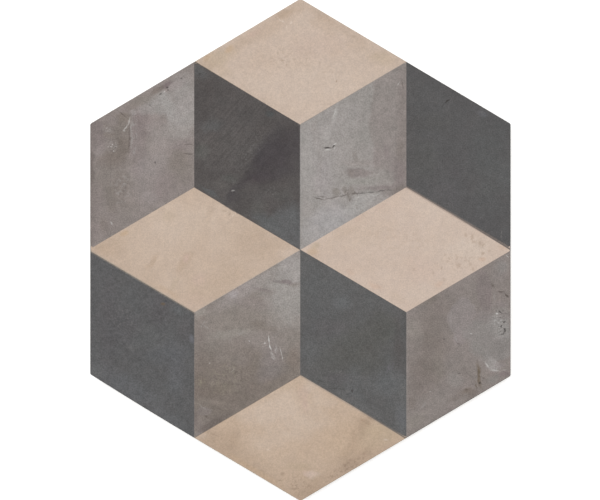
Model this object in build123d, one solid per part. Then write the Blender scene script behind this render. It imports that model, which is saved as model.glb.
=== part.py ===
from build123d import *
import math
import os

# Hexagonal floor tile, dry pressed, printed and fired as one piece.
# Millimetres, +Z up. The tile lies face up, with its origin in the middle of the back,
# its straight sides facing -X and +X and its two points on the Y axis.

# Driving dimensions
ACROSS_FLATS = 200.0  # between the two straight sides
STRAIGHT_SIDE = 120.0  # length of each straight side
POINT_HEIGHT = 59.5  # from the end of a straight side to the point, along Y
THICKNESS = 9.0  # from the crests of the back to the face
CORNER_RADIUS = 1.0  # upright corners, as the die leaves them
ARRIS_RADIUS = 0.6  # rounding between the face and the sides
FOOT_HEIGHT = 2.5  # tapered band round the back, which leaves the mortar some room
FOOT_INSET = 0.8  # how far the back's edge stands inside the face's outline
CELL_PITCH = 16.5  # honeycomb key on the back, from centre to centre
RIB_WIDTH = 2.5  # crest left between two cells
KEY_DEPTH = 0.8  # of a cell below the crests
KEY_DRAFT = 30.0  # lean of a cell's walls from upright, in degrees
RIM_WIDTH = 4.5  # least flat band between the cells and the back's edge

# Places that follow from them
HALF_WIDTH = ACROSS_FLATS / 2
SHOULDER = STRAIGHT_SIDE / 2
POINT = SHOULDER + POINT_HEIGHT
SLANT_LENGTH = math.hypot(HALF_WIDTH, POINT_HEIGHT)


def outline():
    """The tile's outline as a flat face at z = 0, with its rounded corners."""
    right = [(HALF_WIDTH, -SHOULDER), (HALF_WIDTH, SHOULDER), (0, POINT)]
    left = [(-x, -y) for x, y in right]
    hexagon = make_face(Polyline(*right, *left, close=True))
    return fillet(hexagon.vertices(), CORNER_RADIUS)


def pressed_body():
    """Upright sides over a tapered foot, with the arris round the face."""
    section = Pos(0, 0, FOOT_HEIGHT) * outline()
    taper = math.degrees(math.atan2(FOOT_INSET, FOOT_HEIGHT))
    foot = extrude(section, amount=-FOOT_HEIGHT, taper=taper)
    slab = extrude(section, amount=THICKNESS - FOOT_HEIGHT)
    body = foot + slab
    face = body.faces().sort_by(Axis.Z)[-1]
    return fillet(face.edges(), ARRIS_RADIUS)


def depth_inside(x, y):
    """How far a point of the plan lies inside the outline's nearest side."""
    from_straight = HALF_WIDTH - abs(x)
    across_slant = POINT_HEIGHT * abs(x) + HALF_WIDTH * abs(y)
    from_slant = (HALF_WIDTH * POINT - across_slant) / SLANT_LENGTH
    return min(from_straight, from_slant)


def honeycomb():
    """The mouths of all whole cells that fit inside the flat rim, at z = 0."""
    cell_radius = (CELL_PITCH - RIB_WIDTH) / math.sqrt(3)
    cell = RegularPolygon(cell_radius, 6)
    column_step = CELL_PITCH * math.sqrt(3) / 2
    columns = math.ceil(HALF_WIDTH / column_step)
    rows = math.ceil(POINT / CELL_PITCH)
    mouths = []
    for column in range(-columns, columns + 1):
        for row in range(-rows, rows + 1):
            place = Pos(column * column_step, (row + (column % 2) / 2) * CELL_PITCH)
            mouth = place * cell
            if all(depth_inside(v.X, v.Y) >= FOOT_INSET + RIM_WIDTH for v in mouth.vertices()):
                mouths.append(mouth)
    return mouths


def key():
    """The shallow drafted cells that the bedding mortar grips."""
    return [extrude(mouth, amount=KEY_DEPTH, dir=(0, 0, 1), taper=KEY_DRAFT) for mouth in honeycomb()]


tile = pressed_body() - key()
tile.label = "tile"

os.makedirs("parts", exist_ok=True)
export_step(tile, "parts/tile.step")
print("tile", tile.bounding_box().size, "volume", round(tile.volume), "cells", len(honeycomb()))
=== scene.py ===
# %% [markdown]
# A hexagonal floor tile lies face up on a white floor, seen from straight above. The real one is
# pressed from clay powder in a steel die, printed with a tumbling-block pattern that looks like
# old cement in three colours, and fired once. It is one piece, so this lesson models one mesh.
# The frame gives the tile's true size and place. Every number below is in metres, and the short
# name MM lets a size be written in millimetres, the way a tile maker writes it.

# %% Load the frame
import math
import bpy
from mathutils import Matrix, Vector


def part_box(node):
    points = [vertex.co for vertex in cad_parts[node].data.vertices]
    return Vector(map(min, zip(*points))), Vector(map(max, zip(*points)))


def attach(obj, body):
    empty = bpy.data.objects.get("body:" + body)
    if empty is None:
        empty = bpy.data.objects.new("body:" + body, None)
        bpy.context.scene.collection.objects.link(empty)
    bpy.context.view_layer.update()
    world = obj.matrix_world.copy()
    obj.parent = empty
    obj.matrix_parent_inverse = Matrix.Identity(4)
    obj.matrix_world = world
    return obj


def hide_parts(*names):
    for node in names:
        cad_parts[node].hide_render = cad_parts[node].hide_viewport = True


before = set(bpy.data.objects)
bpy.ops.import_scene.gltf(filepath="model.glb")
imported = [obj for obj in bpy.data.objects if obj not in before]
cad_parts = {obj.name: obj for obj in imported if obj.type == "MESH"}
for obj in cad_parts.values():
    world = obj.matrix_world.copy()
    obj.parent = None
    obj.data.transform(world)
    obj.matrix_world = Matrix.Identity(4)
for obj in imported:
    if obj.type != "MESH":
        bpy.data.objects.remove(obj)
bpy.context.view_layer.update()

from types import SimpleNamespace

import bmesh
import bpy

MM = 0.001
lowest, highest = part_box("tile")
HALF_WIDTH = highest.x
THICKNESS = highest.z - lowest.z
print(f"frame: {HALF_WIDTH * 2 / MM:.1f} mm between the sides, {THICKNESS / MM:.1f} mm thick")

# %% [markdown]
# The picture was taken square on, so the camera stands over the middle of the tile and looks
# straight down, with one of the tile's points towards the top. A camera that isn't turned at all
# already looks down with +Y at the top. A long lens shows little of the sides, and its distance
# follows from how wide a stretch the picture shows at the height of the tile's face.

# %% Camera
PICTURE_WIDTH = 285.2 * MM  # what the frame's width shows at the face
LENS, SENSOR = 85.0, 36.0  # millimetres, as camera settings are given
AIM = (-0.2 * MM, -0.07 * MM)  # the tile lies a hair off the frame's middle

bpy.ops.object.select_all(action="DESELECT")
stand_off = LENS / SENSOR * PICTURE_WIDTH
bpy.ops.object.camera_add(location=(*AIM, THICKNESS + stand_off), rotation=(0, 0, 0))
camera = bpy.context.object
camera.name = "overhead_camera"
camera.data.lens = LENS
camera.data.sensor_width = SENSOR
camera.data.clip_start = 10 * MM
bpy.context.scene.camera = camera
bpy.context.scene.view_settings.view_transform = "Standard"
print(f"camera: {stand_off:.3f} m above the face")

# %% [markdown]
# Nodes are easier to read when one small helper adds them. It makes a node, sets its options, and
# gives each input either a fixed value or a wire from another node's output.

# %% A helper for nodes
def add_node(tree, kind, inputs=None, **options):
    """A new node with its options set and each input given a value or wired to an output."""
    node = tree.nodes.new(kind)
    for option, choice in options.items():
        setattr(node, option, choice)
    for name, value in (inputs or {}).items():
        if isinstance(value, bpy.types.NodeSocket):
            tree.links.new(value, node.inputs[name])
        else:
            node.inputs[name].default_value = value
    return node


def seen_directly(tree):
    """An output that is 1 for rays that show the background, straight or in gloss or glass."""
    path = add_node(tree, "ShaderNodeLightPath")
    seen = path.outputs["Is Camera Ray"]
    for other in ("Is Glossy Ray", "Is Transmission Ray"):
        both = add_node(tree, "ShaderNodeMath", {0: seen, 1: path.outputs[other]}, operation="MAXIMUM")
        seen = both.outputs[0]
    return seen


print("helpers: add_node and seen_directly")

# %% [markdown]
# The backdrop is plain white. A white world at full strength would flood the tile with light from
# all sides, so only the rays that show the background see it white, and the rest get a dim fill.
# The floor is treated alike: the camera sees it white, with a faint glow that carries the white up to
# the tile and grows where the lamp's light runs out, and it throws back a little less. It is an
# ordinary matt floor all the same, so the tile's shadow still falls on it.

# %% World and floor
FILL_LIGHT = 0.42  # of the full white, as light on the tile
FLOOR_SIZE = 6.0
FLOOR_GREY = 0.8  # what the floor gives back to the tile
FLOOR_GLOW = 0.3  # added where the floor is seen near the tile
FAR_GLOW = 0.75  # and where the softbox no longer reaches
NEAR_REACH, FAR_REACH = 0.4, 2.0  # metres from the tile, between the two glows

world = bpy.data.worlds.new("white_room")
bpy.context.scene.world = world
world.use_nodes = True
background = world.node_tree.nodes["Background"]
background.inputs["Color"].default_value = (1, 1, 1, 1)
brightness = add_node(
    world.node_tree, "ShaderNodeMapRange",
    {"Value": seen_directly(world.node_tree), "To Min": FILL_LIGHT, "To Max": 1.0},
)
world.node_tree.links.new(brightness.outputs[0], background.inputs["Strength"])

bpy.ops.mesh.primitive_plane_add(size=FLOOR_SIZE, location=(0, 0, 0))
floor = bpy.context.object
floor.name = "white_floor"
paint = bpy.data.materials.new("floor_white")
paint.use_nodes = True
seen = seen_directly(paint.node_tree)
whiteness = add_node(
    paint.node_tree, "ShaderNodeMapRange", {"Value": seen, "To Min": FLOOR_GREY, "To Max": 1.0},
)
spot = add_node(paint.node_tree, "ShaderNodeTexCoord").outputs["Object"]
away = add_node(paint.node_tree, "ShaderNodeVectorMath", {0: spot}, operation="LENGTH").outputs["Value"]
added = add_node(paint.node_tree, "ShaderNodeMapRange", {
    "Value": away, "From Min": NEAR_REACH, "From Max": FAR_REACH, "To Min": FLOOR_GLOW, "To Max": FAR_GLOW,
}).outputs[0]
glow = add_node(paint.node_tree, "ShaderNodeMath", {0: seen, 1: added}, operation="MULTIPLY")
matt = paint.node_tree.nodes["Principled BSDF"]
matt.inputs["Roughness"].default_value = 1.0
matt.inputs["Specular IOR Level"].default_value = 0.0
matt.inputs["Emission Color"].default_value = (1, 1, 1, 1)
paint.node_tree.links.new(whiteness.outputs[0], matt.inputs["Base Color"])
paint.node_tree.links.new(glow.outputs[0], matt.inputs["Emission Strength"])
floor.data.materials.append(paint)
print(f"floor: {FLOOR_SIZE} m square, fill light {FILL_LIGHT}")

# %% [markdown]
# One wide softbox hangs almost straight over the tile, a little to the upper left. From there it
# lights the face evenly, and what shadow there is stays tucked in against the tile's edge. Its
# power is set so that lamp and fill together show a colour about as bright as it is written.

# %% Softbox
SOFTBOX_PLACE = (-0.14, 0.2, 1.5)
SOFTBOX_SIZE = 1.0
SOFTBOX_POWER = 13.8  # watts

bpy.ops.object.light_add(type="AREA", location=SOFTBOX_PLACE)
softbox = bpy.context.object
softbox.name = "softbox"
softbox.data.size = SOFTBOX_SIZE
softbox.data.energy = SOFTBOX_POWER
across = math.atan2(SOFTBOX_PLACE[0], SOFTBOX_PLACE[2])
along = -math.atan2(SOFTBOX_PLACE[1], math.hypot(SOFTBOX_PLACE[0], SOFTBOX_PLACE[2]))
softbox.rotation_euler = (along, across, 0)
print(f"softbox: {SOFTBOX_POWER} W")

# %% [markdown]
# By hand, parts of a mesh are clicked in edit mode. In a script they are chosen by their place or
# their direction, so a helper marks the vertices, edges or faces that pass a test.

# %% Helpers for modelling
def middle(part):
    """The middle of a vertex, an edge or a face of an edit mesh."""
    if isinstance(part, bmesh.types.BMVert):
        return part.co
    return sum((v.co for v in part.verts), part.verts[0].co * 0) / len(part.verts)


def looks_down(face):
    """True for a face that looks towards the floor."""
    return face.normal.z < -0.9


def pick(piece, kind, wanted):
    """Select the VERT, EDGE or FACE parts that pass the test, and nothing else."""
    bpy.ops.mesh.select_mode(type=kind)
    bpy.ops.mesh.select_all(action="DESELECT")
    edit = bmesh.from_edit_mesh(piece.data)
    parts = {"VERT": edit.verts, "EDGE": edit.edges, "FACE": edit.faces}[kind]
    chosen = [part for part in parts if wanted(part)]
    for part in chosen:
        part.select_set(True)
    bmesh.update_edit_mesh(piece.data)
    return len(chosen)


print("helpers: middle, looks_down and pick")

# %% [markdown]
# The tile starts as a six-sided cylinder, because that already has two points on the Y axis and two
# straight sides. In edit mode it is squeezed to the true width, and the four shoulders are moved to
# where the straight sides end.

# %% The pressed blank
POINT = 119.5 * MM  # from the middle to a sharp point, before its corner is rounded
SHOULDER = 60.0 * MM  # half of a straight side
FOOT_HEIGHT = 2.5 * MM  # the upright sides start above this

bpy.ops.object.select_all(action="DESELECT")
bpy.ops.mesh.primitive_cylinder_add(
    vertices=6, radius=POINT, depth=THICKNESS - FOOT_HEIGHT,
    location=(0, 0, (THICKNESS + FOOT_HEIGHT) / 2),
)
tile = bpy.context.object
tile.name = "printed_tile"
bpy.ops.object.transform_apply(location=True, rotation=True, scale=True)
bpy.ops.object.mode_set(mode="EDIT")
squeeze = HALF_WIDTH / (POINT * math.cos(math.radians(30)))
bpy.ops.transform.resize(value=(squeeze, 1, 1), center_override=(0, 0, 0))
shoulders = pick(tile, "VERT", lambda v: abs(v.co.x) > HALF_WIDTH / 2)
bpy.ops.transform.resize(value=(1, SHOULDER / (POINT / 2), 1), center_override=(0, 0, 0))
print(f"blank: {shoulders} shoulder vertices moved to y = {SHOULDER / MM} mm")

# %% [markdown]
# A die never leaves a sharp corner. The six upright edges get a small bevel with a few segments.
# The foot below them is one inset: the back face is drawn in by a little and pushed down at the same
# time, and that leaves the tapered band that gives the mortar room. Last, the edge round the face
# is rounded. Tile makers call that edge the arris.

# %% Corners, foot and arris
CORNER_OFFSET = 0.58 * MM  # makes a radius of 1 mm at corners of about 120 degrees
FOOT_INSET = 0.8 * MM
ARRIS = 0.6 * MM
ROUND_STEPS = 4  # segments of a rounded edge
HAIR = MM / 1000  # less than anything that is modelled, for tests on heights

uprights = pick(tile, "EDGE", lambda e: abs(e.verts[0].co.z - e.verts[1].co.z) > MM)
bpy.ops.mesh.bevel(offset=CORNER_OFFSET, segments=ROUND_STEPS, affect="EDGES")
pick(tile, "FACE", looks_down)
bpy.ops.mesh.inset(thickness=FOOT_INSET, depth=FOOT_HEIGHT)
rim = pick(tile, "EDGE", lambda e: all(v.co.z > THICKNESS - HAIR for v in e.verts))
bpy.ops.mesh.bevel(offset=ARRIS, segments=ROUND_STEPS, affect="EDGES")
bpy.ops.object.mode_set(mode="OBJECT")
print(f"edges: {uprights} upright corners, {rim} edges rounded round the face")

# %% [markdown]
# The back carries a honeycomb of shallow cells that the mortar grips. One cell is modelled as a
# plug: a six-sided cone with a rounded floor and a flared mouth, so that the ribs left between the
# cells come out softened. Copies of the plug fill the back, leaving a flat rim, and one Boolean cut
# presses them all in at once.

# %% One cell of the honeycomb
CELL_PITCH = 16.5 * MM
RIB_WIDTH = 2.5 * MM
KEY_DEPTH = 0.8 * MM
KEY_DRAFT = math.radians(30)
LIP = 0.15 * MM  # height and width of the flare at a cell's mouth
FLOOR_ROUNDING = 0.3 * MM

mouth = (CELL_PITCH - RIB_WIDTH) / math.sqrt(3)
drawn_in = KEY_DEPTH * math.tan(KEY_DRAFT) / math.cos(math.radians(30))
bpy.ops.object.select_all(action="DESELECT")
bpy.ops.mesh.primitive_cone_add(
    vertices=6, radius1=mouth, radius2=mouth - drawn_in, depth=KEY_DEPTH - LIP,
    location=(0, 0, (KEY_DEPTH + LIP) / 2), rotation=(0, 0, math.radians(90)),
)
plug = bpy.context.object
bpy.ops.object.transform_apply(location=True, rotation=True, scale=True)
bpy.ops.object.mode_set(mode="EDIT")
pick(plug, "FACE", looks_down)
bpy.ops.mesh.extrude_region_move(TRANSFORM_OT_translate={"value": (0, 0, -LIP)})
flare = 1 + LIP / mouth
bpy.ops.transform.resize(value=(flare, flare, 1), center_override=(0, 0, 0))
bpy.ops.mesh.extrude_region_move(TRANSFORM_OT_translate={"value": (0, 0, -KEY_DEPTH)})
pick(plug, "EDGE", lambda e: all(v.co.z > KEY_DEPTH - HAIR for v in e.verts))
bpy.ops.mesh.bevel(offset=FLOOR_ROUNDING, segments=3, affect="EDGES")
bpy.ops.object.mode_set(mode="OBJECT")
print(f"cell: {len(plug.data.polygons)} faces, {mouth * math.sqrt(3) / MM:.1f} mm across")

# %% [markdown]
# The cells stand in columns, every second one half a step higher, as in a bee's comb. A cell is kept
# only where its whole mouth lies inside the flat rim, so a small function measures how deep a place
# is inside the hexagon's nearest side.

# %% Press the honeycomb into the back
RIM_WIDTH = 4.5 * MM  # least flat band between the cells and the back's edge
POINT_HEIGHT = POINT - SHOULDER
SLANT = math.hypot(HALF_WIDTH, POINT_HEIGHT)


def depth_inside(x, y):
    """How far a place lies inside the hexagon's nearest side."""
    from_slant = (HALF_WIDTH * POINT - POINT_HEIGHT * abs(x) - HALF_WIDTH * abs(y)) / SLANT
    return min(HALF_WIDTH - abs(x), from_slant)


def cell_fits(x, y):
    """True if all six corners of a cell's mouth lie inside the rim."""
    corners = [math.radians(60 * i) for i in range(6)]
    depths = [depth_inside(x + mouth * math.cos(a), y + mouth * math.sin(a)) for a in corners]
    return min(depths) >= FOOT_INSET + RIM_WIDTH


column_step = CELL_PITCH * math.sqrt(3) / 2
columns = math.ceil(HALF_WIDTH / column_step)
rows = math.ceil(POINT / CELL_PITCH)
grid = [(c * column_step, (r + (c % 2) / 2) * CELL_PITCH)
        for c in range(-columns, columns + 1) for r in range(-rows, rows + 1)]
places = [place for place in grid if cell_fits(*place)]
copies = []
for x, y in places:
    bpy.ops.object.select_all(action="DESELECT")
    plug.select_set(True)
    bpy.context.view_layer.objects.active = plug
    bpy.ops.object.duplicate()
    bpy.ops.transform.translate(value=(x, y, 0))
    copies.append(bpy.context.object)
bpy.ops.object.select_all(action="DESELECT")
for copy in copies:
    copy.select_set(True)
bpy.ops.object.join()
comb = bpy.context.object
bpy.ops.object.transform_apply(location=True, rotation=True, scale=True)

bpy.ops.object.select_all(action="DESELECT")
tile.select_set(True)
bpy.context.view_layer.objects.active = tile
bpy.ops.object.modifier_add(type="BOOLEAN")
stamp = tile.modifiers[-1]
stamp.operation = "DIFFERENCE"
stamp.object = comb
bpy.ops.object.modifier_apply(modifier=stamp.name)
bpy.ops.object.select_all(action="DESELECT")
plug.select_set(True)
comb.select_set(True)
bpy.ops.object.delete()
print(f"back: {len(places)} cells, {len(tile.data.polygons)} faces in the tile")

# %% [markdown]
# The print is a tumbling-block pattern: diamonds in three tones that read as stacked cubes. All their
# corners lie on one lattice of columns and half rows, and every joint runs along a straight line of
# that lattice, so the face can be cut with bisect, one plane at a time. The same lines, set closer,
# also give the face a fine even mesh for its relief. The print is a touch wider than the tile, so the
# outer diamonds are trimmed at the straight sides. Everything but the face and its arris is hidden
# while it is cut, because bisect acts on all that is selected.

# %% Cut the face along the print
COLUMN = 50.35 * MM  # between two columns of the lattice
HALF_ROW = 29.75 * MM  # between two rows of the lattice
FINE = 24  # strips of the fine mesh in one column

bpy.ops.object.select_all(action="DESELECT")
tile.select_set(True)
bpy.context.view_layer.objects.active = tile
bpy.ops.object.mode_set(mode="EDIT")
face_level = THICKNESS - ARRIS - HAIR
pick(tile, "FACE", lambda f: all(v.co.z > face_level for v in f.verts))
bpy.ops.mesh.hide(unselected=True)


def cut(place, normal):
    """Cut all that shows with one upright plane."""
    bpy.ops.mesh.select_all(action="SELECT")
    bpy.ops.mesh.bisect(plane_co=(*place, 0), plane_no=(*normal, 0))


for step in range(-2 * FINE + 1, 2 * FINE):
    cut((step * COLUMN / FINE, 0), (1, 0))
for step in range(-2 * FINE + 1, 2 * FINE):
    for lean in (1, -1):
        cut((0, 2 * step * HALF_ROW / FINE), (-lean * HALF_ROW, COLUMN))
bpy.ops.mesh.reveal(select=False)
bpy.ops.object.mode_set(mode="OBJECT")
print(f"face cut: {len(tile.data.polygons)} faces in the tile")

# %% [markdown]
# Old cement is never quite flat, and the press gives the face its soft trowelled hollows. A Displace
# modifier with a cloud texture lowers the face by about a tenth of a millimetre. A vertex group
# holds how much of it each place gets, and fades it out towards the arris, so that the edge stays
# straight. The foot's upper edge is marked sharp, and the rest is shaded smooth by its angle.

# %% Trowelled relief
RELIEF = 0.12 * MM
HOLLOW_SIZE = 18 * MM
RELIEF_FADE = 6 * MM
SMOOTH_ANGLE = math.radians(30)

hollows = tile.vertex_groups.new(name="hollows")
for vertex in tile.data.vertices:
    share = (depth_inside(vertex.co.x, vertex.co.y) - ARRIS) / RELIEF_FADE
    if vertex.co.z > THICKNESS - HAIR and share > 0:
        hollows.add([vertex.index], min(share, 1), "REPLACE")
trowel = bpy.data.textures.new("trowel_hollows", "CLOUDS")
trowel.noise_scale = HOLLOW_SIZE
trowel.noise_depth = 2
bpy.ops.object.modifier_add(type="DISPLACE")
sink = tile.modifiers[-1]
sink.texture = trowel
sink.texture_coords = "LOCAL"
sink.vertex_group = hollows.name
sink.direction = "Z"
sink.mid_level = 0
sink.strength = -RELIEF
bpy.ops.object.modifier_apply(modifier=sink.name)

bpy.ops.object.mode_set(mode="EDIT")
pick(tile, "EDGE", lambda e: all(abs(v.co.z - FOOT_HEIGHT) < HAIR for v in e.verts))
bpy.ops.mesh.mark_sharp()
bpy.ops.object.mode_set(mode="OBJECT")
bpy.ops.object.shade_smooth_by_angle(angle=SMOOTH_ANGLE, keep_sharp_edges=True)
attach(tile, "root")
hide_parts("tile")
face_heights = [v.co.z for v in tile.data.vertices if v.groups]
print(f"relief: the face lies between {min(face_heights) / MM:.2f} and {max(face_heights) / MM:.2f} mm")

# %% [markdown]
# The corner at the lower left is rubbed down a little. The vertices that stand there are lifted by
# less than a millimetre, and proportional editing lets the edge beside them follow softly.

# %% The rubbed corner
RUBBED = 0.8 * MM
RUB_REACH = 50 * MM
RUB_WIDTH, RUB_HEIGHT = 2 * MM, 1.2 * MM  # the corner itself, from the side and to both sides of it


def at_rubbed_corner(vertex):
    """True for a vertex that stands at the corner."""
    from_side, from_corner = HALF_WIDTH + vertex.co.x, abs(SHOULDER + vertex.co.y)
    return from_side < RUB_WIDTH and from_corner < RUB_HEIGHT


bpy.ops.object.mode_set(mode="EDIT")
lifted = pick(tile, "VERT", at_rubbed_corner)
bpy.ops.transform.translate(
    value=(0, RUBBED, 0), use_proportional_edit=True, proportional_edit_falloff="SHARP",
    proportional_size=RUB_REACH,
)
bpy.ops.object.mode_set(mode="OBJECT")
print(f"rubbed corner: {lifted} vertices lifted by {RUBBED / MM} mm")

# %% [markdown]
# The print was made from real cement, with its cloudy stains, scrapes and specks, so each diamond
# gets a material of its own, painted in layers as a printer would: a clouded base, then broad stains
# with soft ragged edges, then fine mottling, and last the crisp marks. All of it is procedural and
# reads Object coordinates, so it stays on the tile from every side. Colours are chosen as on a
# screen, from 0 to 255, and turned into the linear light that Blender's sockets expect.

# %% Colours and an open ink
GLOSS = 0.18  # specular level of a matt print
FIELD_STEP = 0.37  # metres between the noise fields of two diamonds, so that no pattern runs on
RAGGED = 0.35  # how far a stain's edge frays, as a share of its size
DRIFT_SIZE = 26  # millimetres, the blots of a base's drift between its two colours
RAG_SIZE, BREAK_SIZE = 6, 0.8  # millimetres, of the fraying and of the gaps in a scrape
WANDER = (14, 2.0, 5.0)  # a pushed field: millimetres between the pushes, their reach, and detail
SWAY = (5, 0.8, 5.0)
SHIVER = (1.8, 0.25, 2.0)
SOFT, HARD, GAPS = (0.25, 0.75), (0.35, 0.65), (0.4, 0.58)  # where a noise is cut, low and high


def screen(red, green, blue):
    """A socket's linear colour, from a screen colour of 0 to 255."""
    shares = [value / 255 for value in (red, green, blue)]
    linear = [s / 12.92 if s <= 0.04045 else ((s + 0.055) / 1.055) ** 2.4 for s in shares]
    return (*linear, 1)


def sum_of(ink, operation, *values):
    """The output of a Math node."""
    return add_node(ink.tree, "ShaderNodeMath", dict(enumerate(values)), operation=operation).outputs[0]


def noise(ink, size, detail=3.0, bite=0.5, stretch=(1, 1, 1), turn=0):
    """A random field of 0 to 1, with blots about size millimetres wide; more bite is crumblier."""
    shaped = add_node(ink.tree, "ShaderNodeMapping", {
        "Vector": ink.field, "Rotation": (0, 0, math.radians(turn)),
        "Scale": tuple(length * size * MM for length in stretch),
    }, vector_type="TEXTURE")
    field = add_node(ink.tree, "ShaderNodeTexNoise", {
        "Vector": shaped.outputs[0], "Scale": 1.0, "Detail": detail, "Roughness": bite,
    })
    return field.outputs["Fac"]


def between(ink, value, low, high, to_low, to_high):
    """An output that follows a value from low to high, and goes from to_low to to_high."""
    followed = add_node(ink.tree, "ShaderNodeMapRange", {
        "Value": value, "From Min": low, "From Max": high, "To Min": to_low, "To Max": to_high,
    })
    return followed.outputs[0]


def warped(ink, size, reach, detail):
    """The ink's place, pushed about by up to reach millimetres, so that edges come out ragged. A noise
    seldom leaves its middle by more than a quarter, so four times the reach is asked of it."""
    push = add_node(ink.tree, "ShaderNodeTexNoise", {
        "Vector": ink.field, "Scale": 1 / (size * MM), "Detail": detail,
    })
    centred = add_node(ink.tree, "ShaderNodeVectorMath", {
        0: push.outputs["Color"], 1: (0.5, 0.5, 0.5),
    }, operation="SUBTRACT")
    moved = add_node(ink.tree, "ShaderNodeVectorMath", {
        0: centred.outputs[0], 1: (4 * reach * MM,) * 3, 2: ink.place,
    }, operation="MULTIPLY_ADD")
    return add_node(ink.tree, "ShaderNodeMapping", {"Vector": moved.outputs[0]}).outputs[0]


def open_ink(name, pale, deep, number):
    """A new print material whose base drifts between two colours."""
    material = bpy.data.materials.new(name)
    material.use_nodes = True
    tree = material.node_tree
    shader = tree.nodes["Principled BSDF"]
    shader.inputs["Specular IOR Level"].default_value = GLOSS
    ink = SimpleNamespace(material=material, tree=tree, shader=shader, height=0.0)
    ink.place = add_node(tree, "ShaderNodeTexCoord").outputs["Object"]
    ink.field = add_node(tree, "ShaderNodeMapping", {
        "Vector": ink.place, "Location": (0, 0, number * FIELD_STEP),
    }).outputs[0]
    ink.wander = warped(ink, *WANDER)
    ink.sway = warped(ink, *SWAY)
    ink.shiver = warped(ink, *SHIVER)
    ink.rags = between(ink, noise(ink, RAG_SIZE, 8.0, 0.68), *SOFT, -RAGGED, RAGGED)
    ink.breaks = between(ink, noise(ink, BREAK_SIZE, 2.0), *GAPS, 0.2, 1.0)
    drift = between(ink, noise(ink, DRIFT_SIZE), *HARD, 0, 1)
    base = add_node(tree, "ShaderNodeMix", {0: drift, 6: deep, 7: pale}, data_type="RGBA")
    ink.colour = base.outputs[2]
    return ink


print(f"an ink's base drifts over {DRIFT_SIZE} mm")

# %% [markdown]
# A mark is an ellipse: a Mapping node moves, turns and shrinks the place until the ellipse is a ball,
# and a spherical gradient gives the distance from its middle, where 1 is the rim. The distance then
# says how much colour goes there. A stain takes its place from a wandering field and frays at its
# edge. A seam is a straight band drawn out along a joint of the print, where two inks run into each
# other.

# %% Stains and seams
SMALL_STAIN = 4  # millimetres; a narrower stain follows the finer field
SEAM_LENGTH = 90  # millimetres, far beyond both ends of a joint
SEAM_CORE = 0.4  # the share of its half width that a seam keeps at full strength
FAR = 3  # the gradient's reach, in radii of the ellipse


def ellipse(ink, field, place, size, turn):
    """The distance from the middle of a turned ellipse, where 1 is its rim."""
    ball = add_node(ink.tree, "ShaderNodeMapping", {
        "Vector": field, "Location": (place[0] * MM, place[1] * MM, THICKNESS),
        "Rotation": (0, 0, math.radians(turn)), "Scale": (size[0] * FAR * MM, size[1] * FAR * MM, 1),
    }, vector_type="TEXTURE")
    near = add_node(ink.tree, "ShaderNodeTexGradient", {
        "Vector": ball.outputs[0],
    }, gradient_type="SPHERICAL")
    return sum_of(ink, "MULTIPLY_ADD", near.outputs["Fac"], -FAR, FAR)


def lay(ink, amount, colour):
    """Blend a colour over the ink by an amount."""
    layer = add_node(ink.tree, "ShaderNodeMix", {
        0: amount, 6: ink.colour, 7: colour,
    }, data_type="RGBA")
    ink.colour = layer.outputs[2]


def stain(ink, place, size, turn, colour, strength, edge=0.9, rags=1):
    """A ragged stain: its middle and half sizes in millimetres, its turn in degrees, how wide a share
    of its size it fades over, and how much of the rags it takes. At its rim it is half as strong."""
    field = ink.wander if min(size) > SMALL_STAIN else ink.sway
    far = ellipse(ink, field, place, size, turn)
    frayed = sum_of(ink, "MULTIPLY_ADD", ink.rags, rags, far)
    lay(ink, between(ink, frayed, 1 - edge / 2, 1 + edge / 2, strength, 0), colour)


def seam(ink, place, turn, width, colour, strength):
    """A straight soft band of a half width along a joint."""
    far = ellipse(ink, ink.place, place, (SEAM_LENGTH, width), turn)
    lay(ink, between(ink, far, SEAM_CORE, 1, strength, 0), colour)


print(f"stains: the finer field serves below {SMALL_STAIN} mm")

# %% [markdown]
# The crisp marks are pressed into the bump as well as coloured. A nick takes the fine shiver and stays
# whole. A scrape sways, and is broken up along its length. Pits fill an area with crumbs of one grain.
# Three more helpers change what is already there: tone multiplies the colour by a random field, for
# mottling and grain, streaks do so along one direction, and tint drifts between two casts.

# %% Nicks, scrapes, pits, tone and tint
NICK_FADE = 0.7  # the share of a nick that its edge takes up
NICK_DEPTH = 0.04  # millimetres
PIT_CORE, STREAK_CORE = 0.3, 0.4  # the share of an area that has them at full strength
CLEAR, CRUMBS = (0.3, 0.7), (0.54, 0.62)  # where a noise is cut, low and high
STREAK_STRETCH = (1, 14, 1)
ROUGHNESS_SWING = 0.08
GLOSS_SIZE, GRAIN_SIZE = 6, 1.2  # millimetres, of the blots in the gloss and of the bump's grain


def press(ink, amount, colour):
    """Lay a colour and sink it a little into the face."""
    lay(ink, amount, colour)
    ink.height = sum_of(ink, "MULTIPLY_ADD", amount, -NICK_DEPTH, ink.height)


def nick(ink, place, size, turn, colour, strength):
    """A crisp speck, scratch or crack."""
    far = ellipse(ink, ink.shiver, place, size, turn)
    press(ink, between(ink, far, 1 - NICK_FADE, 1, strength, 0), colour)


def scrape(ink, place, size, turn, colour, strength):
    """A swaying line that is broken up along its length."""
    far = ellipse(ink, ink.sway, place, size, turn)
    whole = between(ink, far, 1 - NICK_FADE, 1, strength, 0)
    press(ink, sum_of(ink, "MULTIPLY", whole, ink.breaks), colour)


def pits(ink, place, size, turn, colour, strength, grain):
    """An area of pits or crumbs, each about grain millimetres wide."""
    far = ellipse(ink, ink.sway, place, size, turn)
    area = between(ink, far, PIT_CORE, 1, strength, 0)
    crumbs = between(ink, noise(ink, grain, 2.0), *CRUMBS, 0, 1)
    press(ink, sum_of(ink, "MULTIPLY", area, crumbs), colour)


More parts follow.
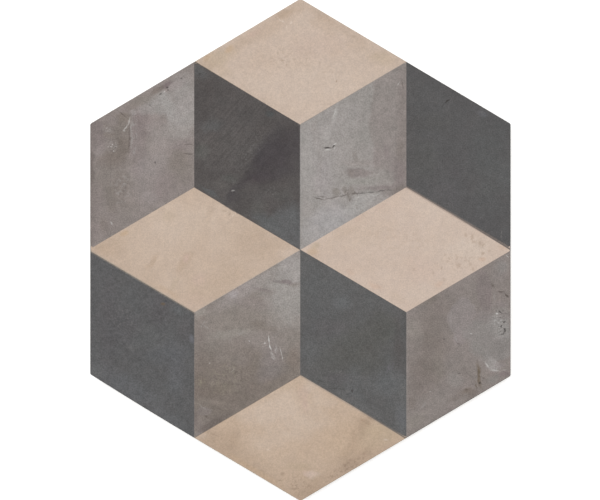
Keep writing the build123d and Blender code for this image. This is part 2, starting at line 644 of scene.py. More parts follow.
def brighten(ink, share):
    """Multiply the ink's colour by an output."""
    toned = add_node(ink.tree, "ShaderNodeVectorMath", {0: ink.colour, "Scale": share}, operation="SCALE")
    ink.colour = toned.outputs[0]


def tone(ink, size, swing, detail=3.0, bite=0.5, stretch=(1, 1, 1), turn=0):
    """Lighten and darken the ink by up to a share of its colour, in blots of a size."""
    blots = noise(ink, size, detail, bite, stretch, turn)
    brighten(ink, between(ink, blots, *SOFT, 1 - swing, 1 + swing))


def streaks(ink, place, size, turn, width, swing):
    """Brushed streaks of a width over an area, upright when the turn is 0."""
    area = between(ink, ellipse(ink, ink.wander, place, size, 0), STREAK_CORE, 1, swing, 0)
    brushed = between(ink, noise(ink, width, 4.0, 0.5, STREAK_STRETCH, turn), *CLEAR, -1, 1)
    brighten(ink, sum_of(ink, "MULTIPLY_ADD", area, brushed, 1))


def tint(ink, size, warm, cool):
    """Let the ink drift between two casts, each given as shares of its red, green and blue."""
    drift = between(ink, noise(ink, size, 6.0, 0.6), *CLEAR, 0, 1)
    cast = add_node(ink.tree, "ShaderNodeMix", {0: drift, 6: (*cool, 1), 7: (*warm, 1)}, data_type="RGBA")
    tinted = add_node(ink.tree, "ShaderNodeVectorMath", {
        0: ink.colour, 1: cast.outputs[2],
    }, operation="MULTIPLY")
    ink.colour = tinted.outputs[0]


def close_ink(ink, roughness, grain):
    """Wire the finished colour, roughness and bump into the shader."""
    smoothest, roughest = roughness - ROUGHNESS_SWING, roughness + ROUGHNESS_SWING
    rough = between(ink, noise(ink, GLOSS_SIZE), *SOFT, smoothest, roughest)
    height = sum_of(ink, "MULTIPLY_ADD", noise(ink, GRAIN_SIZE, 4.0), grain, ink.height)
    bump = add_node(ink.tree, "ShaderNodeBump", {"Height": height, "Distance": MM})
    ink.tree.links.new(ink.colour, ink.shader.inputs["Base Color"])
    ink.tree.links.new(rough, ink.shader.inputs["Roughness"])
    ink.tree.links.new(bump.outputs[0], ink.shader.inputs["Normal"])
    print(f"ink: {ink.material.name}, {len(ink.tree.nodes)} nodes")
    return ink.material


print(f"nicks: {NICK_DEPTH} mm deep")

# %% [markdown]
# The sand diamonds are the tops of the blocks. They are the evenest of the three tones: a warm beige
# with tan drifts towards the corners, and a few flecks. They share a palette and a fine mottling,
# which is laid after the stains and before the crisp marks.

# %% Sand palette
SAND_PALE = screen(209, 192, 178)
SAND_ROSE = screen(199, 174, 161)
SAND_HONEY = screen(193, 167, 140)
SAND_TAN = screen(184, 162, 142)
SAND_OLIVE = screen(184, 165, 141)
SAND_UMBER = screen(164, 142, 122)
SAND_SHADE = screen(138, 117, 100)
SAND_CHALK = screen(224, 210, 198)
SAND_RUST = screen(193, 154, 126)
SAND_ROUGHNESS, SAND_GRAIN = 0.66, 0.02  # the grain is in millimetres of bump
JOINT_SLOPE = math.degrees(math.atan2(HALF_ROW, COLUMN))  # degrees, of the slanting joints


def sand_texture(ink):
    """The fine mottling that all sand diamonds share."""
    tone(ink, 10, 0.025, 5.0, 0.6)
    tone(ink, 2, 0.05, 4.0)
    tone(ink, 0.6, 0.1, 1.0)
    tint(ink, 5, (1.005, 1.0, 0.99), (0.995, 1.0, 1.01))


def close_sand(ink):
    """Wire up a sand diamond."""
    return close_ink(ink, SAND_ROUGHNESS, SAND_GRAIN)


print(f"sand: the joints slope by {JOINT_SLOPE:.1f} degrees")

# %% [markdown]
# The top diamond is pale in the middle, and tan and olive stains overlap in its outer corners. Each
# diamond is one list of marks, in the order in which they cover each other, with places in
# millimetres from the middle of the tile.

# %% The top sand diamond
ink = open_ink("sand_top", screen(202, 183, 168), screen(199, 179, 163), 1)
stain(ink, (-40, 91), (9, 4), 24, SAND_OLIVE, 0.5)
stain(ink, (-29, 97.5), (6, 2.5), 31, SAND_TAN, 0.3)
stain(ink, (-34, 95.5), (2.2, 1.2), 31, SAND_HONEY, 0.6)
stain(ink, (-44, 91.3), (2.2, 1), 31, SAND_HONEY, 0.5)
stain(ink, (-22, 103), (3.2, 1.3), 31, SAND_ROSE, 0.6)
stain(ink, (-37, 86), (4.5, 2.2), -31, SAND_OLIVE, 0.25)
stain(ink, (-7.5, 112), (4.5, 1.8), 18, SAND_TAN, 0.75)
stain(ink, (-2, 115.5), (4, 3), 0, SAND_TAN, 0.4)
stain(ink, (10, 111.5), (6, 2), -31, SAND_TAN, 0.45)
stain(ink, (22, 104), (12, 1.8), -31, SAND_TAN, 0.25)
stain(ink, (27, 97), (5, 3), -25, SAND_TAN, 0.3)
stain(ink, (39, 91.5), (6, 3), -10, SAND_OLIVE, 0.4)
stain(ink, (-20, 79), (10, 4), -31, SAND_PALE, 0.25)
stain(ink, (8, 80), (27, 11), 0, SAND_PALE, 0.22)
stain(ink, (8, 97), (12, 7), 0, SAND_ROSE, 0.2)
stain(ink, (-14, 106), (11, 3.4), 31, SAND_TAN, 0.35)
stain(ink, (10, 107), (7, 3), -31, SAND_TAN, 0.35)
stain(ink, (-24, 101.5), (8, 2.4), 31, SAND_TAN, 0.2)
stain(ink, (-45, 87.5), (3.5, 2), 0, SAND_TAN, 0.35)
seam(ink, (-44, 85.6), -JOINT_SLOPE - 0.5, 0.42, screen(92, 86, 80), 1)
seam(ink, (25.2, 74.4), JOINT_SLOPE, 0.34, screen(152, 143, 136), 1)
sand_texture(ink)
pits(ink, (-6, 92), (18, 7), 0, SAND_UMBER, 0.26, 1.3)
pits(ink, (14, 84), (12, 8), 0, SAND_UMBER, 0.22, 1.2)
pits(ink, (20, 105), (20, 3), -31, SAND_UMBER, 0.3, 1.2)
scrape(ink, (-9, 109.3), (3, 0.6), -28, SAND_CHALK, 0.5)
scrape(ink, (-4.5, 108.3), (1.8, 0.6), 55, SAND_CHALK, 0.5)
scrape(ink, (-6.3, 105.8), (0.5, 1.8), 0, SAND_CHALK, 0.4)
nick(ink, (17.1, 80.1), (0.5, 0.8), 0, SAND_UMBER, 0.75)
nick(ink, (-8.3, 89.9), (1, 0.5), 0, SAND_UMBER, 0.5)
nick(ink, (-6.6, 87.8), (0.8, 0.4), 40, SAND_UMBER, 0.55)
nick(ink, (-13.8, 89.5), (0.6, 0.5), 0, SAND_UMBER, 0.45)
nick(ink, (9.3, 88.7), (0.5, 0.8), 0, SAND_UMBER, 0.45)
nick(ink, (3.1, 90.9), (1, 0.4), 0, SAND_UMBER, 0.3)
sand_top = close_sand(ink)

# %% [markdown]
# The left one has two slanting tan smears below its middle, and charcoal has run over a stretch of its
# upper right joint.

# %% The left sand diamond
ink = open_ink("sand_left", screen(199, 179, 162), screen(195, 174, 156), 2)
stain(ink, (-57, 13), (17, 8), 0, SAND_PALE, 0.22)
stain(ink, (-21, 3), (10, 7), -6, SAND_TAN, 0.5)
stain(ink, (-34, 10), (6, 5), 0, SAND_TAN, 0.18)
stain(ink, (-36, -15), (15, 4.5), 31, SAND_TAN, 0.32)
stain(ink, (-91, 2), (7, 6), 0, SAND_TAN, 0.5)
stain(ink, (-96, 0.5), (4.5, 2.5), 0, SAND_TAN, 0.5)
stain(ink, (-83.5, 8), (2.2, 1.2), 25, SAND_HONEY, 0.7)
stain(ink, (-72, -12), (5, 3), -31, SAND_TAN, 0.2)
stain(ink, (-63, -19.8), (6, 1.2), -31, SAND_HONEY, 0.3)
stain(ink, (-50, -25), (7, 4), 0, SAND_ROSE, 0.2)
stain(ink, (-48, -14), (3, 2.5), 0, SAND_ROSE, 0.35)
stain(ink, (-62, 16), (3, 2.6), 20, SAND_OLIVE, 0.25)
stain(ink, (-43, 17), (1.4, 4), -20, SAND_TAN, 0.3)
stain(ink, (-70, -5), (4.2, 1.3), 55, SAND_TAN, 0.7)
stain(ink, (-54.5, -5.2), (5.5, 2.1), 52, SAND_TAN, 0.6)
stain(ink, (-54, -4.2), (1.2, 2.2), -30, SAND_ROSE, 0.7)
stain(ink, (-60, -16), (3.5, 1.2), 60, SAND_OLIVE, 0.35)
stain(ink, (-25, 11.8), (8, 3), -25, SAND_TAN, 0.35)
stain(ink, (-34, -3), (5, 4), 0, SAND_TAN, 0.22)
stain(ink, (-38, -22), (4, 2.4), 31, SAND_TAN, 0.35)
stain(ink, (-49, 9.5), (5, 5), 0, SAND_TAN, 0.15)
stain(ink, (-5, -2), (5, 2.4), 0, SAND_PALE, 0.35)
stain(ink, (-60, -15), (6, 4), -31, SAND_PALE, 0.16)
seam(ink, (-75.5, -14.9), -JOINT_SLOPE, 0.8, screen(172, 158, 145), 0.4)
seam(ink, (-25.2, -14.9), JOINT_SLOPE, 0.6, screen(180, 166, 154), 0.4)
seam(ink, (-25.2, 14.9), -JOINT_SLOPE, 0.3, screen(98, 91, 86), 1)
sand_texture(ink)
nick(ink, (-33, 19.4), (8, 0.5), -JOINT_SLOPE, screen(98, 91, 86), 0.9)
nick(ink, (-33.7, 16.9), (1.3, 0.45), 60, SAND_SHADE, 0.45)
nick(ink, (-32.1, 16.2), (1.1, 0.4), 60, SAND_CHALK, 0.4)
nick(ink, (-36.2, 18.5), (1.4, 0.35), -20, SAND_UMBER, 0.45)
nick(ink, (-35.6, 17.4), (0.9, 0.3), 30, SAND_CHALK, 0.35)
scrape(ink, (-34, -3.3), (1.4, 0.6), 50, SAND_UMBER, 0.35)
scrape(ink, (-17.8, -2.3), (1, 0.6), 40, SAND_UMBER, 0.35)
scrape(ink, (-45, -11.3), (3, 0.4), -3, SAND_UMBER, 0.25)
sand_left = close_sand(ink)

# %% [markdown]
# The right one is the palest. It has a few faint spots of rust, and umber pits are scattered over its
# right end.

# %% The right sand diamond
ink = open_ink("sand_right", screen(206, 187, 173), screen(203, 183, 168), 3)
stain(ink, (26, 5), (16, 5), 16, SAND_OLIVE, 0.12)
stain(ink, (30, -6), (10, 6), 0, SAND_TAN, 0.1)
stain(ink, (58, -8), (8, 6), 0, SAND_ROSE, 0.25)
stain(ink, (6, -0.8), (2.4, 1.3), 0, SAND_HONEY, 0.6)
stain(ink, (7, 1.8), (2, 1.2), 20, SAND_OLIVE, 0.5)
stain(ink, (80, 0), (9, 5), 0, SAND_PALE, 0.75)
stain(ink, (56, -21), (8, 4), 20, SAND_PALE, 0.3)
stain(ink, (59, 20), (11, 3), -31, SAND_PALE, 0.25)
stain(ink, (28, 15), (2.5, 1.1), 31, SAND_ROSE, 0.35)
stain(ink, (38, 20), (3, 1), 31, SAND_ROSE, 0.3)
stain(ink, (23.5, -10.5), (2, 1.2), -31, SAND_RUST, 0.16)
stain(ink, (36, -17), (3.5, 1.3), -31, SAND_RUST, 0.2)
stain(ink, (66, -16.5), (2, 1.2), 30, SAND_RUST, 0.22)
stain(ink, (96.5, 0.8), (2, 1.2), 0, SAND_RUST, 0.18)
stain(ink, (86.5, -4.5), (1.6, 0.9), 0, SAND_RUST, 0.4)
stain(ink, (85.5, 2.8), (1.8, 2), 15, SAND_UMBER, 0.35)
stain(ink, (73, 3), (20, 14), 0, SAND_PALE, 0.28)
stain(ink, (6, -3), (3, 1.8), 0, SAND_TAN, 0.45)
stain(ink, (24, 11.5), (8, 3), 31, SAND_TAN, 0.2)
stain(ink, (46, -23), (4, 2.5), -31, SAND_TAN, 0.2)
seam(ink, (75.5, 14.9), -JOINT_SLOPE, 0.8, screen(164, 147, 137), 0.7)
seam(ink, (25.2, -14.9), -JOINT_SLOPE, 0.2, screen(100, 95, 90), 1)
seam(ink, (75.5, -14.9), JOINT_SLOPE, 0.22, screen(134, 124, 117), 1)
sand_texture(ink)
seam(ink, (97, 1.9), -JOINT_SLOPE - 1.1, 0.42, screen(104, 97, 93), 0.95)
pits(ink, (74, -4), (15, 9), 0, SAND_UMBER, 0.26, 1.5)
pits(ink, (84, 4), (9, 4), -31, SAND_UMBER, 0.34, 1.5)
pits(ink, (45, 4), (28, 14), 0, SAND_TAN, 0.22, 1.7)
nick(ink, (85.4, 3), (1.2, 1.3), 20, SAND_UMBER, 0.3)
nick(ink, (86.8, -1.7), (1.3, 1), 30, SAND_UMBER, 0.5)
nick(ink, (89.7, -0.4), (0.8, 0.8), 0, SAND_UMBER, 0.4)
nick(ink, (78.6, 7), (0.9, 1.4), 15, SAND_UMBER, 0.4)
nick(ink, (81.7, 6.5), (1.1, 1.4), -30, SAND_UMBER, 0.36)
nick(ink, (74.9, -7.6), (1.3, 1.4), 0, SAND_UMBER, 0.36)
nick(ink, (80.7, -6.8), (0.9, 1), 0, SAND_UMBER, 0.36)
nick(ink, (82, -9), (1, 1.5), 10, SAND_UMBER, 0.36)
nick(ink, (67.2, -8.7), (0.7, 1), 0, SAND_UMBER, 0.45)
nick(ink, (68.2, -14), (1.1, 1.5), 30, SAND_UMBER, 0.28)
nick(ink, (70.6, -4.2), (0.8, 0.8), 0, SAND_UMBER, 0.36)
nick(ink, (63, -11), (0.8, 1), 0, SAND_UMBER, 0.3)
nick(ink, (54, -9.5), (1.2, 0.9), 0, SAND_UMBER, 0.26)
scrape(ink, (45.4, -15.2), (3, 0.4), 30, SAND_CHALK, 0.35)
sand_right = close_sand(ink)

# %% [markdown]
# The bottom one is the brownest: umber lies in bands along both lower edges, with crumbs in them, and
# in a patch on the right.

# %% The bottom sand diamond
ink = open_ink("sand_bottom", screen(196, 174, 154), screen(191, 168, 147), 4)
stain(ink, (-11, -76), (17, 7), 10, SAND_PALE, 0.48)
stain(ink, (0, -85), (8, 5), 0, SAND_PALE, 0.35)
stain(ink, (11, -71), (5, 3), -20, SAND_PALE, 0.25)
stain(ink, (-7, -65), (2.5, 1.6), 0, SAND_OLIVE, 0.3)
stain(ink, (1, -68), (2.2, 3), 0, SAND_ROSE, 0.4)
stain(ink, (2.2, -73), (1.6, 3.5), 0, SAND_ROSE, 0.6)
stain(ink, (25, -90), (12, 9), 20, SAND_HONEY, 0.35)
stain(ink, (28.5, -86), (7, 3), 60, SAND_UMBER, 0.5, 1.4)
stain(ink, (31, -81.8), (2.4, 1.4), -20, SAND_UMBER, 0.5)
stain(ink, (22, -96), (5, 2), 45, SAND_UMBER, 0.3, 1.2)
stain(ink, (20, -104.5), (21, 4), 31, screen(163, 141, 122), 0.42, 1.1)
stain(ink, (22, -102.8), (4, 1.6), 31, SAND_SHADE, 0.25)
stain(ink, (38, -87.5), (8, 6), 10, SAND_OLIVE, 0.5)
stain(ink, (-41, -91), (11, 6), -20, SAND_UMBER, 0.28)
stain(ink, (-21, -103.5), (22, 4.5), -31, SAND_UMBER, 0.24, 1.1)
stain(ink, (-22, -104.8), (14, 1.2), -31, SAND_HONEY, 0.5)
stain(ink, (-32, -91), (2.2, 5.5), -12, SAND_UMBER, 0.3)
stain(ink, (3, -114), (8, 5), 0, SAND_UMBER, 0.24)
stain(ink, (4.5, -106.5), (2.8, 1.2), 0, SAND_ROSE, 0.85)
stain(ink, (-1, -103), (5, 2), 0, SAND_OLIVE, 0.5)
stain(ink, (-4, -106), (11, 6), 0, SAND_TAN, 0.25)
stain(ink, (-8, -66), (8, 4), 25, SAND_PALE, 0.15)
stain(ink, (6, -64.5), (4, 3), 0, SAND_PALE, 0.35)
stain(ink, (9, -81), (6, 4), 0, SAND_PALE, 0.22)
stain(ink, (-14, -90), (9, 5), 0, SAND_PALE, 0.28)
stain(ink, (-29, -94), (3, 4), 20, SAND_TAN, 0.35)
stain(ink, (15, -101), (5, 3), 31, SAND_TAN, 0.4)
stain(ink, (-48, -88.5), (3, 1.6), 0, SAND_PALE, 0.3)
stain(ink, (6, -106.8), (3.4, 1.6), 0, SAND_PALE, 0.35)
stain(ink, (0.5, -70), (3, 4), 0, SAND_TAN, 0.25)
stain(ink, (34, -79.6), (5, 1), -31, SAND_SHADE, 0.4)
seam(ink, (25.2, -74.4), -JOINT_SLOPE, 0.9, screen(164, 150, 139), 0.65)
seam(ink, (-25.2, -74.4), JOINT_SLOPE, 0.3, screen(125, 114, 105), 1)
sand_texture(ink)
seam(ink, (45, -86.4), -JOINT_SLOPE - 1.2, 0.42, screen(112, 105, 99), 0.95)
pits(ink, (30, -97), (8, 2.4), 31, SAND_UMBER, 0.4, 1.4)
pits(ink, (-40, -90), (9, 6), 0, SAND_SHADE, 0.22, 1.3)
pits(ink, (31, -82), (3, 3), 0, screen(150, 116, 92), 0.45, 1.3)
pits(ink, (0, -112), (10, 6), 0, SAND_SHADE, 0.42, 1.1)
pits(ink, (22, -103.5), (15, 3), 31, SAND_SHADE, 0.45, 1.3)
pits(ink, (27, -99.5), (7, 2), 31, screen(146, 114, 104), 0.5, 1.5)
pits(ink, (-20, -105), (16, 2.5), -31, SAND_SHADE, 0.3, 1.2)
pits(ink, (26, -88), (12, 9), 0, SAND_UMBER, 0.25, 1.5)
nick(ink, (-8.5, -106.5), (1.3, 1.1), 0, SAND_SHADE, 0.4)
nick(ink, (-9.6, -109.6), (1.4, 0.5), 15, SAND_SHADE, 0.4)
nick(ink, (40.7, -90.3), (1.4, 0.7), 0, SAND_CHALK, 0.35)
nick(ink, (-15.4, -95.1), (1, 0.6), 0, SAND_CHALK, 0.3)
scrape(ink, (-22.1, -85.1), (1.4, 0.5), 40, SAND_UMBER, 0.35)
sand_bottom = close_sand(ink)

# %% [markdown]
# The charcoal diamonds are the shaded sides of the blocks. Three of them are almost even, with cool
# slate and warm olive drifts, and one is sooty. They too share a palette and a mottling.

# %% Charcoal palette
COAL_SOOT = screen(65, 60, 62)
COAL_SHADE = screen(60, 56, 55)
COAL_PLUM = screen(69, 61, 64)
COAL_UMBER = screen(79, 74, 72)
COAL_SLATE = screen(92, 93.5, 94)
COAL_MIST = screen(101, 102, 103)
COAL_OLIVE = screen(87, 86, 82)
COAL_MAUVE = screen(88.5, 85.5, 87)
COAL_DUST = screen(118, 116, 114)
COAL_CHIP = screen(120, 120, 127)
COAL_RUST = screen(108, 90, 66)
SOOT_SPECK = screen(50, 46, 44)
LIME_SPECK = screen(216, 214, 210)
COAL_ROUGHNESS, COAL_GRAIN = 0.62, 0.02


def charcoal_texture(ink):
    """The fine mottling that all charcoal diamonds share."""
    tone(ink, 10, 0.04, 5.0, 0.6)
    tone(ink, 2, 0.12, 4.0)
    tone(ink, 0.6, 0.24, 1.0)
    tint(ink, 9, (1.015, 0.997, 0.993), (0.985, 1.003, 1.007))


def close_charcoal(ink):
    """Wire up a charcoal diamond."""
    return close_ink(ink, COAL_ROUGHNESS, COAL_GRAIN)


print(f"charcoal: roughness about {COAL_ROUGHNESS}")

# %% [markdown]
# The one above the middle is the sooty one. A broad band of soot climbs across it to the right, with
# brushed streaks along the band, and its lower corner clears to slate.

# %% The sooty charcoal diamond
ink = open_ink("charcoal_upper_mid", screen(84.5, 80, 78.5), screen(81.5, 77, 75.5), 5)
stain(ink, (-6, 50), (9, 9), 42, COAL_SOOT, 0.74)
stain(ink, (-14, 45.5), (8, 6), 42, COAL_SOOT, 0.85, 0.8)
stain(ink, (-19, 42), (5.5, 4), 40, COAL_SOOT, 0.75, 0.8)
stain(ink, (-19, 34.6), (7.5, 3), 8, COAL_PLUM, 0.75)
stain(ink, (-11, 33), (6, 2.5), 15, COAL_UMBER, 0.5)
stain(ink, (-27, 32.3), (6, 2), 42, COAL_SOOT, 0.6)
stain(ink, (-33, 26), (4.5, 1.5), 62, COAL_SOOT, 0.5)
stain(ink, (-30.5, 25), (3, 2.5), 0, COAL_SOOT, 0.4)
stain(ink, (-27, 21.5), (7, 5), 48, COAL_SHADE, 0.22)
stain(ink, (-44, 77), (10, 2), 38, COAL_SHADE, 0.2)
stain(ink, (-48, 72), (3, 3), 0, COAL_SHADE, 0.2)
stain(ink, (-46, 66), (3, 8), -10, COAL_SHADE, 0.15)
stain(ink, (-16, 63), (15, 7), -31, COAL_SHADE, 0.2)
stain(ink, (-14.5, 64.5), (1.9, 1.4), -20, screen(70, 75, 76), 0.5)
stain(ink, (-5, 12), (8, 7.5), -20, screen(96, 97, 98), 0.75)
stain(ink, (-15, 13), (8, 3), -31, COAL_SLATE, 0.75)
stain(ink, (-20, 20), (4, 3), 0, screen(90, 88, 85), 0.6)
stain(ink, (-9, 26), (4, 3.5), 0, screen(84, 84, 81), 0.3)
stain(ink, (-48, 84), (4, 2.5), -30, COAL_SLATE, 0.45)
stain(ink, (-42, 59), (5, 3), 0, COAL_SLATE, 0.4)
stain(ink, (-47, 47), (3.5, 3.5), 0, screen(87, 87, 83), 0.6)
stain(ink, (-34, 34), (3.5, 2), 0, screen(87, 87, 84), 0.55)
stain(ink, (-38.5, 31), (4, 1.6), -20, screen(92, 88, 85), 0.6)
stain(ink, (-13, 37), (11, 4), 5, COAL_SOOT, 0.65)
stain(ink, (-35, 38), (8, 3), 30, COAL_SHADE, 0.1)
stain(ink, (-22, 29), (9, 3), 20, COAL_SHADE, 0.14)
stain(ink, (-2, 3), (4, 3), 0, COAL_MIST, 0.5)
stain(ink, (-43, 27.5), (5, 1), -31, COAL_SLATE, 0.6)
stain(ink, (-42, 74), (9, 7), -20, COAL_SHADE, 0.16)
stain(ink, (-36, 48), (9, 7), 30, screen(90, 86, 84), 0.5)
stain(ink, (-16, 11), (6, 2), -31, screen(97, 97, 97), 0.6)
stain(ink, (-16, 30), (5, 2.5), 0, COAL_SHADE, 0.18)
stain(ink, (-50.5, 68), (2, 9), 0, COAL_SHADE, 0.2)
seam(ink, (0, 30), 90, 0.36, screen(142, 138, 136), 0.9)
streaks(ink, (-30, 54), (26, 32), -42, 1.0, 0.14)
charcoal_texture(ink)
pits(ink, (-28, 22), (6, 5), 0, COAL_SHADE, 0.45, 1.2)
pits(ink, (-24, 50), (8, 16), -42, COAL_DUST, 0.14, 1.2)
pits(ink, (-25, 44), (3.5, 11), -38, COAL_DUST, 0.4, 1.1)
pits(ink, (-28, 36), (3.5, 4), 0, COAL_DUST, 0.5, 1.1)
pits(ink, (-14, 28), (4, 3.5), 0, COAL_DUST, 0.4, 1.0)
pits(ink, (-27, 35), (5, 13), -38, COAL_SHADE, 0.6, 1.1)
nick(ink, (-32, 28.1), (1.1, 0.5), 8, LIME_SPECK, 0.36)
scrape(ink, (-25, 37), (4, 0.8), 45, COAL_SHADE, 0.7)
scrape(ink, (-33.5, 26), (3.5, 0.5), 62, COAL_SHADE, 0.6)
scrape(ink, (-48.2, 83.3), (0.6, 1.4), -20, COAL_SHADE, 0.6)
scrape(ink, (-16.5, 65.5), (0.5, 1.6), 30, COAL_SHADE, 0.5)
charcoal_upper_mid = close_charcoal(ink)

# %% [markdown]
# The upper right one is almost even. It is a little darker along its left and upper sides, with one
# short dark scratch near the top and pale hairlines near the right.

# %% The upper right charcoal diamond
ink = open_ink("charcoal_upper_right", screen(87, 85.5, 85.5), screen(85, 83.5, 83.8), 6)
stain(ink, (62, 61), (8, 5), 0, COAL_OLIVE, 0.25)
stain(ink, (58, 44), (6, 8), 0, COAL_OLIVE, 0.3)
stain(ink, (91, 42), (9, 18), 0, screen(87, 87.5, 87), 0.6)
stain(ink, (67, 28), (6, 5), 0, screen(91, 89, 90), 0.5)
stain(ink, (71, 50), (4.5, 8), -40, COAL_SHADE, 0.07)
stain(ink, (53.5, 84), (2.5, 1.6), -30, COAL_MAUVE, 0.5)
stain(ink, (74, 36), (3, 3.5), 0, COAL_MAUVE, 0.4)
stain(ink, (86.5, 65), (2.2, 1), -20, COAL_CHIP, 0.25)
stain(ink, (53, 55), (6, 33), 0, screen(81, 79.5, 79), 0.5)
stain(ink, (65, 80), (17, 4), -31, screen(81, 79.5, 79.5), 0.5)
stain(ink, (71, 60), (5, 7), -20, COAL_SHADE, 0.1)
stain(ink, (72, 26), (5, 4), 0, screen(92, 90, 91), 0.5)
stain(ink, (97, 38), (3, 6), 0, screen(92, 92, 92), 0.5)
stain(ink, (93, 5), (5, 3), -31, COAL_SHADE, 0.12)
seam(ink, (75.5, 14.9), -JOINT_SLOPE, 0.95, screen(132, 120, 112), 0.65)
charcoal_texture(ink)
nick(ink, (69.8, 70.7), (2.2, 0.45), 38, SOOT_SPECK, 0.9)
scrape(ink, (67.5, 68.5), (1.6, 0.4), 40, SOOT_SPECK, 0.45)
nick(ink, (86.1, 65.4), (1.2, 0.6), -15, COAL_DUST, 0.35)
nick(ink, (69.9, 21.4), (0.6, 0.5), 0, SOOT_SPECK, 0.45)
scrape(ink, (95.6, 7.5), (0.35, 3.3), 4, COAL_DUST, 0.6)
scrape(ink, (53.1, 61.4), (1.9, 0.6), -25, SOOT_SPECK, 0.35)
scrape(ink, (88.2, 28.6), (2.4, 0.4), 55, COAL_DUST, 0.35)
scrape(ink, (88.4, 28), (2, 0.4), -40, COAL_DUST, 0.3)
charcoal_upper_right = close_charcoal(ink)

# %% [markdown]
# The lower left one drifts from mauve at the upper left to slate at the lower right, with a pale chip
# at its right joint and a fleck of rust.

# %% The lower left charcoal diamond
ink = open_ink("charcoal_lower_left", screen(90.5, 89.8, 90.2), screen(88, 87.3, 87.7), 7)
stain(ink, (-91, -35), (5, 20), 0, COAL_MAUVE, 0.6)
stain(ink, (-82, -36), (6, 8), 0, COAL_MAUVE, 0.5)
stain(ink, (-67, -28), (5, 8), 0, COAL_MAUVE, 0.55)
stain(ink, (-55, -38), (3, 6), 0, COAL_MAUVE, 0.5)
stain(ink, (-72, -41), (5, 6), 0, screen(93, 93, 93), 0.6)
stain(ink, (-66, -50), (8, 3.5), 0, screen(94, 95, 97), 0.55)
stain(ink, (-59, -60), (4, 9), 0, screen(96, 96, 98), 0.65)
stain(ink, (-83, -65.5), (15, 5), -31, screen(98, 98.5, 101), 0.55)
stain(ink, (-58.5, -28.5), (3, 2), -30, COAL_MIST, 0.6)
stain(ink, (-80.2, -47), (1.7, 1.2), 0, COAL_DUST, 0.12)
stain(ink, (-65, -79), (11, 3), -31, screen(97, 97, 98.5), 0.6)
stain(ink, (-97.5, -58), (3, 2.5), 0, screen(98, 98, 98), 0.7)
stain(ink, (-60, -50), (6, 6), 0, screen(97, 97, 99.5), 0.45)
stain(ink, (-88, -36), (5, 6), 0, screen(84, 82.5, 83.5), 0.5)
stain(ink, (-85, -13), (5, 3), -31, screen(86, 85, 85), 0.5)
stain(ink, (-51, -37), (1.6, 6), 0, COAL_SHADE, 0.2)
seam(ink, (-75.5, -14.9), -JOINT_SLOPE, 0.8, screen(136, 128, 118), 0.75)
seam(ink, (-50.35, -60), 90, 0.3, screen(124, 117, 113), 0.9)
charcoal_texture(ink)
pits(ink, (-85, -32), (9, 10), 0, COAL_DUST, 0.28, 1.0)
pits(ink, (-66, -32), (9, 9), 0, COAL_SHADE, 0.3, 0.9)
nick(ink, (-51.7, -42.2), (1.5, 2.6), 8, COAL_CHIP, 0.5)
nick(ink, (-65.3, -25.7), (1.5, 0.9), 0, COAL_RUST, 0.55)
nick(ink, (-64, -24.5), (0.7, 0.6), 0, screen(56, 57, 66), 0.5)
nick(ink, (-80.1, -34.7), (0.6, 0.8), 0, COAL_DUST, 0.4)
nick(ink, (-82.3, -29.4), (0.8, 0.5), 0, COAL_DUST, 0.35)
charcoal_lower_left = close_charcoal(ink)

# %% [markdown]
# The lower middle one is olive across its middle and paler towards its lower joint, with a dark smear
# near that joint and pale scratches on the right.

# %% The lower middle charcoal diamond
ink = open_ink("charcoal_lower_mid", screen(93.5, 92.5, 92), screen(91.5, 90.5, 90), 8)
stain(ink, (10, -20), (11, 11), 0, screen(93, 93.5, 94), 0.5)
stain(ink, (20, -25.5), (4.5, 3), 0, COAL_MIST, 0.65)
stain(ink, (27, -47), (18, 9), 35, COAL_OLIVE, 0.6)
stain(ink, (40, -36), (6, 6), 0, COAL_OLIVE, 0.5)
stain(ink, (14, -37), (7, 4), 0, screen(96, 92, 93), 0.5)
stain(ink, (18, -61), (6, 2.5), 0, screen(92, 88, 90), 0.5)
stain(ink, (4, -46), (3.5, 8), 0, COAL_MIST, 0.3)
stain(ink, (25, -72), (11, 1.5), -31, screen(108, 107, 107), 0.5)
stain(ink, (42, -63.5), (8, 7), -30, COAL_MIST, 0.55)
stain(ink, (48, -79), (2.5, 7), 0, screen(104, 104, 106), 0.75)
stain(ink, (34, -72.5), (7, 1.1), -30, COAL_SHADE, 0.18)
stain(ink, (46.5, -42), (1.6, 9), 0, screen(84, 80, 79), 0.55)
stain(ink, (49.8, -44), (1.7, 15), 0, screen(82, 80, 79), 0.65)
stain(ink, (7, -36), (8, 8), 0, screen(88, 86.5, 87), 0.5)
stain(ink, (34, -55.5), (6, 3.5), 20, screen(84, 83, 80), 0.5)
stain(ink, (26, -68.5), (5, 2), -31, COAL_MIST, 0.45)
stain(ink, (49, -70), (1.8, 8), 0, screen(106, 106, 105), 0.4)
stain(ink, (46, -83), (3, 2), -31, screen(104, 104, 104), 0.5)
stain(ink, (25, -62), (4, 6), 0, COAL_MIST, 0.35)
stain(ink, (46, -50), (3, 8), 0, COAL_UMBER, 0.3)
seam(ink, (25.2, -74.4), -JOINT_SLOPE, 0.6, screen(114, 106, 100), 0.5)
charcoal_texture(ink)
pits(ink, (27, -45), (18, 11), 20, COAL_SHADE, 0.36, 1.0)
pits(ink, (40, -34), (8, 7), 0, COAL_SHADE, 0.3, 1.0)
nick(ink, (24.7, -67), (0.8, 1), 0, COAL_SHADE, 0.8)
nick(ink, (22.4, -67.2), (1.7, 1.2), -20, COAL_DUST, 0.35)
scrape(ink, (15.5, -65.9), (4.3, 0.5), 3, COAL_SHADE, 0.65)
nick(ink, (19, -58), (1.3, 0.5), 42, COAL_DUST, 0.6)
scrape(ink, (23.6, -62.3), (1.4, 0.8), 60, COAL_DUST, 0.4)
